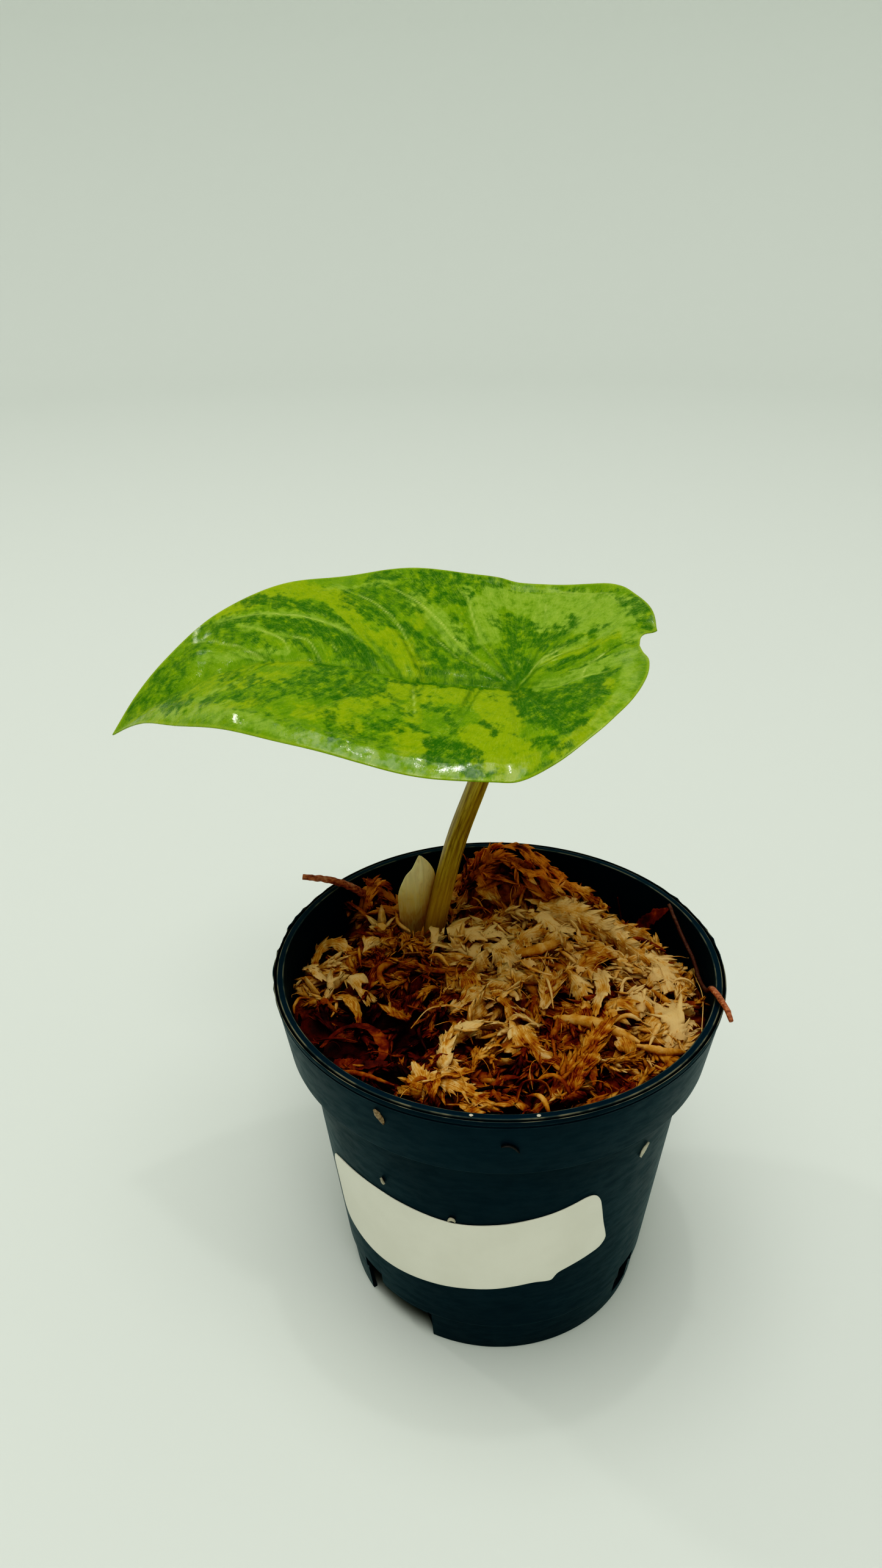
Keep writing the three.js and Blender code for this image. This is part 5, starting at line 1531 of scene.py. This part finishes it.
def moss_scale():
    """One tiny moss leaf, a pointed cupped sliver of unit size that stands for every scale."""
    stations = ((0.0, 0.3, 0.56, 0.1), (0.7, 0.5, 0.78, 0.13), (1.6, 0.34, 0.92, 0.07))
    rows = []
    for z, half, out, deep in stations:
        rows.append([(-half, out - 0.16, z), (half, out - 0.16, z), (0, out + deep, z)])
    points = np.vstack([np.array(rows, float).reshape(-1, 3), [[0, 1.06, 2.5]]])
    faces = []
    for r in range(2):
        for i in range(3):
            j = (i + 1) % 3
            faces.append((r * 3 + i, r * 3 + j, r * 3 + j + 3, r * 3 + i + 3))
    faces += [(6, 7, 9), (7, 8, 9), (8, 6, 9), (0, 2, 1)]
    scale = face_out(piece_of("moss_scale_shape", points / MM, faces))
    give_values(scale, "tip", [0, 0, 0, 0.3, 0.3, 0.3, 0.7, 0.7, 0.7, 1])
    return scale


def strand_guides(name, strands):
    """Guide lines for strands: a mesh of edges that holds each point's thickness, tone and flare."""
    points, edges, thick, tone, flare = [], [], [], [], []
    for path, width, shade, lean in strands:
        start = len(points)
        points.extend(path)
        edges.extend((start + k, start + k + 1) for k in range(len(path) - 1))
        thick.extend(width)
        tone.extend(shade)
        flare.extend(lean)
    mesh = bpy.data.meshes.new(name)
    mesh.from_pydata((np.array(points) * MM).tolist(), edges, [])
    made = object_of(name, mesh)
    give_values(made, "thick", np.array(thick) * MM)
    give_values(made, "tone", tone)
    give_values(made, "flare", flare)
    return made


def new_tree(name, inputs):
    """An empty geometry tree with a geometry input and output and the given named inputs."""
    tree = bpy.data.node_groups.new(name, "GeometryNodeTree")
    tree.interface.new_socket("Geometry", in_out="INPUT", socket_type="NodeSocketGeometry")
    for title, kind in inputs:
        tree.interface.new_socket(title, in_out="INPUT", socket_type="NodeSocket" + kind)
    tree.interface.new_socket("Geometry", in_out="OUTPUT", socket_type="NodeSocketGeometry")
    return tree, tree.nodes.new("NodeGroupInput").outputs


def random_value(tree, low, high, seed):
    inputs = {2: low, 3: high, 8: seed}
    return node_in(tree, "FunctionNodeRandomValue", inputs, data_type="FLOAT").outputs[1]


def named_value(tree, name):
    return node_in(tree, "GeometryNodeInputNamedAttribute", {"Name": name}, data_type="FLOAT").outputs[0]


def close_tree(geometry, finish):
    """Ends a tree with the finish on what it makes."""
    painted = node("GeometryNodeSetMaterial", {"Geometry": geometry, "Material": finish}).outputs[0]
    node("NodeGroupOutput", {0: painted})
    return geometry.id_data


def shaded_by(geometry, value, domain="POINT"):
    """Stores the shade that the finish adds to the tone."""
    return node("GeometryNodeStoreNamedAttribute", {"Geometry": geometry, "Name": "shade", "Value": value},
                data_type="FLOAT", domain=domain).outputs[0]


def turned_on(facing, axis, angle):
    """A rotation with a further turn about one of its own axes."""
    turn = node("FunctionNodeAxisAngleToRotation", {"Axis": axis, "Angle": angle}).outputs[0]
    return node("FunctionNodeRotateRotation", {0: facing, 1: turn}, rotation_space="LOCAL").outputs[0]


def round_tube(curve, sides, radius):
    """A closed round tube along each curve."""
    ring = node_in(curve.id_data, "GeometryNodeCurvePrimitiveCircle", {"Resolution": sides, "Radius": 1.0},
                   mode="RADIUS")
    return node("GeometryNodeCurveToMesh", {"Curve": curve, "Profile Curve": ring.outputs[0],
                                            "Scale": radius, "Fill Caps": True}).outputs[0]


def leafy_tree():
    """Guide lines become strands: a soft core wrapped in small leaves that lean along the line."""
    tree, given = new_tree("leafy_strands", (("Leaf shape", "Object"), ("Leaf spacing", "Float"),
                                             ("Core share", "Float"), ("Seed", "Int"),
                                             ("Finish", "Material")))
    curve = node("GeometryNodeMeshToCurve", {"Mesh": given["Geometry"]}).outputs[0]
    thick = named_value(tree, "thick")
    leaf = node("GeometryNodeObjectInfo", {"Object": given["Leaf shape"]}).outputs["Geometry"]
    spots = node("GeometryNodeCurveToPoints", {"Curve": curve, "Length": given["Leaf spacing"]},
                 mode="LENGTH").outputs
    grown = times(thick, random_value(tree, 0.5, 1.3, 7))
    lean = times(named_value(tree, "flare"), random_value(tree, 0.0, 2.2, 11))
    facing = node("FunctionNodeAlignRotationToVector", {"Vector": spots["Tangent"]}, axis="Z").outputs[0]
    facing = turned_on(facing, (0, 0, 1), random_value(tree, 0.0, 2 * math.pi, given["Seed"]))
    facing = turned_on(facing, (-1, 0, 0), lean)
    facing = turned_on(facing, (0, 1, 0), random_value(tree, -0.45, 0.45, 17))
    size = node("ShaderNodeCombineXYZ", {0: grown, 1: grown, 2: grown}).outputs[0]
    leaves = node("GeometryNodeInstanceOnPoints", {"Points": spots["Points"], "Instance": leaf,
                                                   "Rotation": facing, "Scale": size}).outputs[0]
    leaves = shaded_by(leaves, random_value(tree, 0.0, 1.0, 23), "INSTANCE")
    leaves = node("GeometryNodeRealizeInstances", {"Geometry": leaves}).outputs[0]
    core = shaded_by(round_tube(curve, 6, times(thick, given["Core share"])), 0.3)
    both = node("GeometryNodeJoinGeometry", {0: leaves})
    tree.links.new(core, both.inputs[0])
    return close_tree(both.outputs[0], given["Finish"])


def stem_tree():
    """Guide lines become smooth bare stems or hairs."""
    tree, given = new_tree("bare_stems", (("Sides", "Int"), ("Finish", "Material")))
    curve = node("GeometryNodeMeshToCurve", {"Mesh": given["Geometry"]}).outputs[0]
    tube = shaded_by(round_tube(curve, given["Sides"], named_value(tree, "thick")), 0.5)
    tube = node("GeometryNodeRealizeInstances", {"Geometry": tube}).outputs[0]
    return close_tree(tube, given["Finish"])


def grown_from(guides, tree, values):
    """Runs a tree on guide lines with its named inputs set, and keeps the result as a plain mesh."""
    modifier = guides.modifiers.new(tree.name, "NODES")
    modifier.node_group = tree
    for item in tree.interface.items_tree:
        if item.in_out == "INPUT" and item.name in values:
            modifier[item.identifier] = values[item.name]
    return smoothed(baked(guides))


def kept_inside(x, y, z, width):
    """Moves a point off the stalk and its sheath, and off the pot's wall."""
    for cx, cy, clear in STALK_FOOT:
        away = math.hypot(x - cx, y - cy)
        if away < clear + width * 0.6:
            push = (clear + width * 0.6) / max(away, 0.1)
            x, y = cx + (x - cx) * push, cy + (y - cy) * push
    room = float(mouth_room(min(z, POT["height"]))) - width * 0.9
    away = math.hypot(x, y)
    if away > room:
        x, y = x * room / away, y * room / away
    return x, y


def sunken(x, y):
    """1 where the moss sinks away from the back wall, 0 elsewhere."""
    return float(ease(29, 37, math.hypot(x, y)) * ease(2, 14, y))


def lump_top(x, y):
    """1 over the tall clumps at the back, where strands add no height, and 0 elsewhere."""
    return sum(math.exp(-((x - cx) / wx)**2 - ((y - cy) / wy)**2) for (cx, cy), (wx, wy) in TALL_CLUMPS)


def wandering_strand(rng, start, length, width, layer, hump):
    """A line over the bed that bends at random, rises and falls again, and keeps inside the pot."""
    count = max(int(length / STRAND_STEP), 4)
    heading = rng.uniform(0, 2 * math.pi)
    bend = rng.normal(0, 0.09)
    x, y = start
    path = []
    for k in range(count):
        share = k / (count - 1)
        lift = layer + hump * math.sin(math.pi * min(share * 1.1, 1))
        lift -= max(lift + 0.9, 0) * max(min(lump_top(x, y), 1), sunken(x, y))
        z = float(moss_top(x, y)) + lift - 1.2 * sunken(x, y)
        x, y = kept_inside(x, y, z, width)
        path.append((x, y, z))
        heading += bend + rng.normal(0, 0.07)
        x += math.cos(heading) * STRAND_STEP
        y += math.sin(heading) * STRAND_STEP
    return path


def tapered(count, width, rng):
    """Thickness along a strand: thin at both ends, uneven between."""
    share = np.linspace(0, 1, count)
    swell = np.clip(np.sin(np.pi * np.clip(share * 0.92 + 0.06, 0, 1)), 0.1, 1)**0.55
    return (width * swell * rng.uniform(0.85, 1.15, count)).tolist()


def frayed_ends(count, lean):
    """How far the leaves stand off a strand: little along it and a lot at its tip."""
    share = np.linspace(0, 1, count)
    return (lean + 0.75 * ease(0.8, 1, share) + 0.3 * ease(0.12, 0, share)).tolist()


def toned(path, shade, rng, spread=0.11):
    """Tone along a strand: lighter where it rides high and darker low down, as painted light and shade and
    as the damper colour of the lower layers, and drifting a little.
    """
    drift = rng.normal(0, spread)
    drift = drift + spread * np.sin(np.linspace(0, rng.uniform(2, 6), len(path)) + rng.uniform(0, 6))
    lift = np.array([z - moss_top(x, y) for x, y, z in path])
    return (shade + drift + 0.07 * np.clip(lift - 0.9, -3, 2.2)).tolist()


def scattered_strands(rng, name):
    """Strands all over the bed, placed evenly by the golden angle and turned at random."""
    count, lengths, widths, layers, hump, lean = LOOSE_STRANDS[name]
    golden = math.pi * (3 - math.sqrt(5))
    strands = []
    for k in range(count):
        radius = 40.0 * math.sqrt((k + 0.5) / count)
        turn = k * golden + rng.uniform(0, 0.5)
        start = (radius * math.cos(turn), radius * math.sin(turn))
        width = rng.uniform(*widths)
        length, layer = rng.uniform(*lengths), rng.uniform(*layers)
        path = wandering_strand(rng, start, length, width, layer, rng.uniform(0, hump))
        middle = path[len(path) // 2]
        if lean > 0.06 and lump_top(middle[0], middle[1]) > 0.4:
            continue
        shade = moss_tone(middle[0], middle[1])
        if shade < 0.3 and rng.random() < 0.55:
            continue
        strands.append((path, tapered(len(path), width, rng), toned(path, shade, rng),
                        frayed_ends(len(path), lean * rng.uniform(0.3, 1.6))))
    return strands


def pulp_strand(path, tones, width, rng):
    """A torn, wrinkled, half flat strand of moss pulp with toothed edges and a frayed end; its tone has
    painted highlights on the edges and fold crests and painted shade in the fold hollows.
    """
    length = float(np.linalg.norm(np.diff(np.array(path), axis=0), axis=1).sum())
    steps = max(int(length / 0.3), 12)
    line = smooth_line(path, steps)
    forward, sides, ups = carried_frames(line)
    share = np.linspace(0, 1, steps)
    run = share * length
    flat, face = two_sided(6)
    across = np.tile(flat, (steps, 1))
    along = np.tile(run[:, None], (1, len(flat)))
    seed = int(rng.integers(1e6))
    swell = np.clip(np.sin(np.pi * (share * 0.9 + 0.06)), 0.25, 1)**0.6
    half = (width / 2 * swell * (1 + 0.35 * waves(run, run * 0, seed, 3, 2)))[:, None]
    tilt = (rng.normal(0, 0.5) + rng.uniform(-1.2, 1.2) * share)[:, None]
    side = sides * np.cos(tilt) + ups * np.sin(tilt)
    up = ups * np.cos(tilt) - sides * np.sin(tilt)
    rim = np.abs(across) > 0.9
    teeth = []
    for _ in range(2):
        beat = run / rng.uniform(0.7, 1.4) + rng.uniform(0, 1)
        size = rng.uniform(0.1, 1.4, int(beat[-1]) + 1)
        teeth.append(beat % 1 * size[beat.astype(int)])
    tooth = rim * np.where(across < 0, teeth[0][:, None], teeth[1][:, None])
    strip = rng.uniform(0, 2.6, 6)
    fray = np.concatenate([strip, strip[::-1]])[None] * ease(0.84, 1, share)[:, None]
    reach = across * half * (1 + 0.6 * tooth)
    ahead = half * (1.1 * tooth + fray)
    wrinkled = across * rng.uniform(3, 7) + rng.uniform(0, 6)
    folds = np.sin(wrinkled + 2.5 * waves(along, across, seed + 1, 4, 2))
    curl = rng.normal(0, 0.35) + 0.5 * waves(run, run * 0, seed + 2, 5, 1)
    lift = 0.055 * width * folds + curl[:, None] * half * across**2
    lift = lift + face * half * (0.22 * np.sqrt(1 - 0.92 * across**2))
    rows = line[:, None] + side[:, None] * reach[..., None] + up[:, None] * lift[..., None]
    rows = rows + forward[:, None] * ahead[..., None]
    points, faces = closed_skin(list(rows))
    base = np.interp(share, np.linspace(0, 1, len(tones)), tones)[:, None]
    # Painted light and shade: lighter along the edges and on the folds' crests, darker in their hollows
    tone = base + 0.09 * rim + 0.05 * folds + 0.16 * waves(along, across * half, seed + 3, 3, 2)
    ends = [[0.0, 0.0], [0.0, length]]
    spots = np.vstack([np.stack([across * half * 2, along], -1).reshape(-1, 2), ends])
    return points, faces, np.append(tone.ravel(), [base[0, 0], base[-1, 0]]), spots


def build_pulp(name, strands, rng, finish):
    """Many pulp strands in one piece."""
    points, faces, tones, spots = [], [], [], []
    count = 0
    for path, width, shade, _ in strands:
        made, sides, tone, spot = pulp_strand(path, shade, max(width), rng)
        points.append(made)
        faces += [tuple(count + k for k in side) for side in sides]
        tones.append(tone)
        spots.append(spot)
        count += len(made)
    pulp = piece_of(name, np.vstack(points), faces)
    give_tone(pulp, np.concatenate(tones))
    give_map(pulp, "strand", *np.vstack(spots).T)
    return finished(pulp, finish, "moss", "moss_bed")


def line_on_moss(points, count):
    """An even line through points whose heights are above the bed."""
    line = smooth_line(points, count)
    line[:, 2] += moss_top(line[:, 0], line[:, 1])
    return line.tolist()


def shown_strands(rng):
    """The strands and stars of leaves that the eye picks out."""
    strands = []
    for tone, width, points in SHOWN_LEAFY:
        path = line_on_moss(points, SHOWN_STEPS)
        strands.append((path, tapered(SHOWN_STEPS, width * 0.85, rng), toned(path, tone - 0.08, rng, 0.04),
                        frayed_ends(SHOWN_STEPS, 0.12)))
    for (x, y, lift), size, tone in STAR_TUFTS:
        z = float(moss_top(x, y)) + lift
        lean_x, lean_y = rng.normal(0, 0.25, 2)
        path = [(x + lean_x * k * 0.3, y + lean_y * k * 0.3, z + 0.3 * k) for k in range(4)]
        strands.append((path, [size * 1.25] * 4, [tone] * 4, [0.95] * 4))
    return strands


def pulp_fringe(strands, rng):
    """Small leaves that stand off the pulp strands, most of all at their ends."""
    fringe = []
    for path, width, shade, _ in strands:
        thick = max(width) * rng.uniform(0.12, 0.22)
        tones = [tone + rng.uniform(-0.02, 0.1) for tone in shade]
        thickness = tapered(len(path), thick, rng)
        fringe.append((path, thickness, tones, frayed_ends(len(path), rng.uniform(0.1, 0.5))))
    return fringe


def shown_pulp(rng):
    """The pulp strands that the eye picks out."""
    strands = []
    for tone, width, points in SHOWN_PULP:
        path = line_on_moss([(x, y, lift + 0.5) for x, y, lift in points], SHOWN_STEPS)
        strands.append((path, [width * 1.15], toned(path, tone - 0.1, rng, 0.04), None))
    return strands


def build_moss(finish):
    """Every strand, tuft, stem and shred of moss, in a few pieces."""
    build_moss_bed(finish)
    leaf_shape = moss_scale()
    tree = leafy_tree()
    rng = np.random.default_rng(MOSS_SEED)
    low_pulp = scattered_strands(rng, "moss_low_pulp")
    high_pulp = scattered_strands(rng, "moss_high_pulp") + shown_pulp(rng)
    for seed, (name, (spacing, core)) in enumerate(LEAFY_PIECES.items()):
        if name == "moss_shown_strands":
            strands = shown_strands(rng)
        elif name == "moss_pulp_fringe":
            strands = pulp_fringe(low_pulp[::3] + high_pulp[::2], rng)
        else:
            strands = scattered_strands(rng, name)
        leafy = grown_from(strand_guides(name, strands), tree,
                           {"Leaf shape": leaf_shape, "Leaf spacing": spacing * MM, "Core share": core,
                            "Seed": seed, "Finish": finish})
        finished(leafy, finish, "moss", "moss_bed")
    bpy.data.objects.remove(leaf_shape)
    build_pulp("moss_low_pulp", low_pulp, rng, finish)
    build_pulp("moss_high_pulp", high_pulp, rng, finish)
    build_stems(rng, finish)
    build_shreds(rng, finish)


def build_stems(rng, finish):
    """Bare stems and fine hairs that lie over the strands."""
    lines = []
    steps = 24
    for tone, width, points in SHOWN_STEMS + SHOWN_HAIRS:
        thick = [width] * steps if width < HAIR_WIDTH else tapered(steps, width, rng)
        lines.append((line_on_moss(points, steps), thick, [tone] * steps, [0.0] * steps))
    lines += scattered_strands(rng, "stems")
    lines += scattered_strands(rng, "hairs")
    stems = grown_from(strand_guides("moss_stems", lines), stem_tree(), {"Sides": 7, "Finish": finish})
    return finished(stems, finish, "moss", "moss_bed")


def build_shreds(rng, finish):
    """Torn flat shreds: the named ones and many small ones."""
    thickness = 0.35
    shreds = []
    for number, (tone, width, points, turn) in enumerate(SHOWN_SHREDS):
        made = ribbon("shred", line_on_moss(points, 30), widths_of(width, 0.5, 0.25), thickness, 30, turn,
                      0.22, 0.25, 100 + number)
        shreds.append((made, tone))
    for path, _, tones, _ in scattered_strands(rng, "shreds"):
        width = rng.uniform(1.0, 2.8)
        tone = float(np.mean(tones)) * 1.08 + rng.uniform(-0.06, 0.14)
        made = ribbon("shred", path, widths_of(width), thickness, 18, rng.uniform(-60, 60), 0.6,
                      rng.uniform(-0.5, 0.5), int(rng.integers(1e6)))
        shreds.append((made, tone))
    for made, tone in shreds:
        give_tone(made, tone)
    whole = joined("moss_shreds", [made for made, _ in shreds])
    return finished(whole, finish, "moss", "moss_bed")


# Bark pieces and what clings to the pot

def build_bark(finish):
    twig = rod("bark_twig_fine", LEFT_TWIG, LEFT_TWIG_RADII, 18, 90, 0.12, 3)
    strip = rod("bark_strip_fine", RIGHT_STRIP, RIGHT_STRIP_RADII, 14, 150, 0.16, 8)
    # The strip has painted shade, nearly black, inside the pot, and none where it hooks over the rim
    depth = np.array([v.co.y for v in strip.data.vertices]) / MM
    give_values(strip, "strip_shade", ease(-11, -6, depth))
    return [finished(twig, finish, "bark", "bark_twig_left"),
            finished(strip, finish, "bark", "bark_strip_right")]


def on_side(azimuth, z, out):
    """A point on the pot's outer face, out millimetres in front of it."""
    if z > POT["collar_bottom"]:
        share = (z - POT["collar_bottom"]) / (POT["height"] - POT["lip_depth"] - POT["collar_bottom"])
        spread = POT["collar_top_radius"] - POT["collar_bottom_radius"]
        radius = POT["collar_bottom_radius"] + spread * share
    else:
        radius = side_radius(z)
    return tuple(polar(azimuth, radius + out, z))


def build_crumbs(finish):
    """Slivers of husk and moss that cling to the pot's side, its rim and the sticker."""
    made = []
    for number, (name, tone, spots, width) in enumerate(SLIVERS):
        path = [on_side(azimuth, z, 0.32) for azimuth, z in spots]
        made.append((ribbon(name, path, widths_of(width), 0.5, 16, 90, 0.12, 0.2, number), tone))
    for number, azimuth in enumerate(RIM_CRUMBS):
        path = [polar(azimuth + turn, POT["mouth_radius"] + 0.9, POT["height"] + 0.12)
                for turn in (-0.4, 0.1, 0.5)]
        made.append((ribbon("rim_crumb", path, (0.3, 0.6, 0.3), 0.3, 8, 0, 0.3, 0.1, 40 + number), 0.95))
    for piece, tone in made:
        give_tone(piece, tone)
    whole = joined("clinging_crumbs", [piece for piece, _ in made])
    return finished(whole, finish, "moss")


# Stage, light and camera

FLOOR_PALE = (0.63, 0.68, 0.625, 1)
FLOOR_PAINTED_SHADOW = (0.06, 0.06, 0.05, 1)


def build_stage():
    """A pale floor that curves up into a low wall all round, painted dark under the pot as its shadow."""
    material, tree, shader = finish_named("pale_floor", roughness=0.9, specular_ior_level=0.1)
    x, y, _ = parts_of(place(tree))
    # Painted shadow: the floor darkens under the pot, inside its foot ring
    outside = between(axis_distance(x, y), 0.027, 0.0325)
    dress(shader, base_color=blend(outside, FLOOR_PAINTED_SHADOW, FLOOR_PALE))
    profile = [(1.0, 0.0), (150.0, 0.0), (STAGE["flat"] - 300, 0.0), (STAGE["flat"], 0.0)]
    for turn in np.radians(np.linspace(6, 80, 14)):
        out, up = math.sin(turn), 1 - math.cos(turn)
        profile.append((STAGE["flat"] + STAGE["bend"] * out, STAGE["bend"] * up))
    profile.append((profile[-1][0] + 40, profile[-1][1] + STAGE["wall"]))
    sides = STAGE["sides"]
    azimuth = np.linspace(0, 360, sides, endpoint=False)
    loops = [polar(azimuth, r, z) for r, z in profile]
    points = np.vstack([np.array(loops).reshape(-1, 3), [[0, 0, 0]]])
    faces = skin_faces(len(loops), sides)
    faces += [(len(points) - 1, i, (i + 1) % sides) for i in range(sides)]
    floor = piece_of("pale_floor", points, faces)
    floor.data.materials.append(material)


def soft_light(name, at, towards, size, watts, colour):
    """A round lamp of the given width that faces a place."""
    light = bpy.data.lights.new(name, "AREA")
    light.shape = "DISK"
    light.size = size * MM
    light.energy = watts
    light.color = colour
    made = object_of(name, light)
    made.location = Vector(at) * MM
    made.rotation_euler = (Vector(towards) - Vector(at)).to_track_quat("-Z", "Y").to_euler()


def build_light():
    """An even sky, lighter overhead and from behind, and four soft lamps."""
    world = bpy.data.worlds.new("studio")
    bpy.context.scene.world = world
    world.use_nodes = True
    tree = world.node_tree
    background = tree.nodes["Background"]
    direction = node_in(tree, "ShaderNodeTexCoord").outputs["Generated"]
    _, depth, height = parts_of(direction)
    level = times(between(height, -0.1, 0.9, 0.36, 1.1), between(depth, -0.9, 0.2, 0.8, 1.0))
    colour = blend(level, (0, 0, 0, 1), (1.0, 1.0, 0.94, 1))
    tree.links.new(colour, background.inputs["Color"])
    background.inputs["Strength"].default_value = 0.55
    for name, lamp in LAMPS.items():
        soft_light(name, *lamp)


def build_camera():
    """The camera, turned by its yaw, pitch and roll."""
    yaw, pitch, roll = (math.radians(CAMERA[key]) for key in ("yaw", "pitch", "roll"))
    forward = Vector((math.sin(yaw) * math.cos(pitch), math.cos(yaw) * math.cos(pitch), -math.sin(pitch)))
    level = Vector((math.cos(yaw), -math.sin(yaw), 0))
    upright = level.cross(forward)
    right = level * math.cos(roll) + upright * math.sin(roll)
    up = -level * math.sin(roll) + upright * math.cos(roll)
    data = bpy.data.cameras.new("camera")
    data.lens = CAMERA["lens"]
    data.sensor_width = 36
    data.clip_start = 0.01
    data.clip_end = 20
    camera = object_of("camera", data)
    turn = Matrix((right, up, -forward)).transposed()
    camera.matrix_world = Matrix.Translation(Vector(CAMERA["at"]) * MM) @ turn.to_4x4()
    bpy.context.scene.camera = camera


def develop():
    """A plain view with deepened shadows, as in the photograph."""
    view = bpy.context.scene.view_settings
    view.view_transform = "Standard"
    view.use_curve_mapping = True
    curve = view.curve_mapping.curves[3]
    for point, (given, shown) in zip(curve.points, ((0, 0), (1, SHOWN_WHITE))):
        point.location = (given, shown)
    for given, shown in DEEPENED:
        curve.points.new(given, shown)
    view.curve_mapping.update()


# The whole plant

build_pot(plastic_finish())
build_label(paper_finish())
build_leaf(leaf_finish())
build_stalk(stalk_finish())
build_sheath(sheath_finish())
build_moss(moss_finish())
build_bark(bark_finish())
build_crumbs(husk_finish())
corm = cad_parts["corm_and_roots"]
corm.data.materials.clear()
corm.data.materials.append(corm_finish())
build_stage()
build_light()
build_camera()
develop()
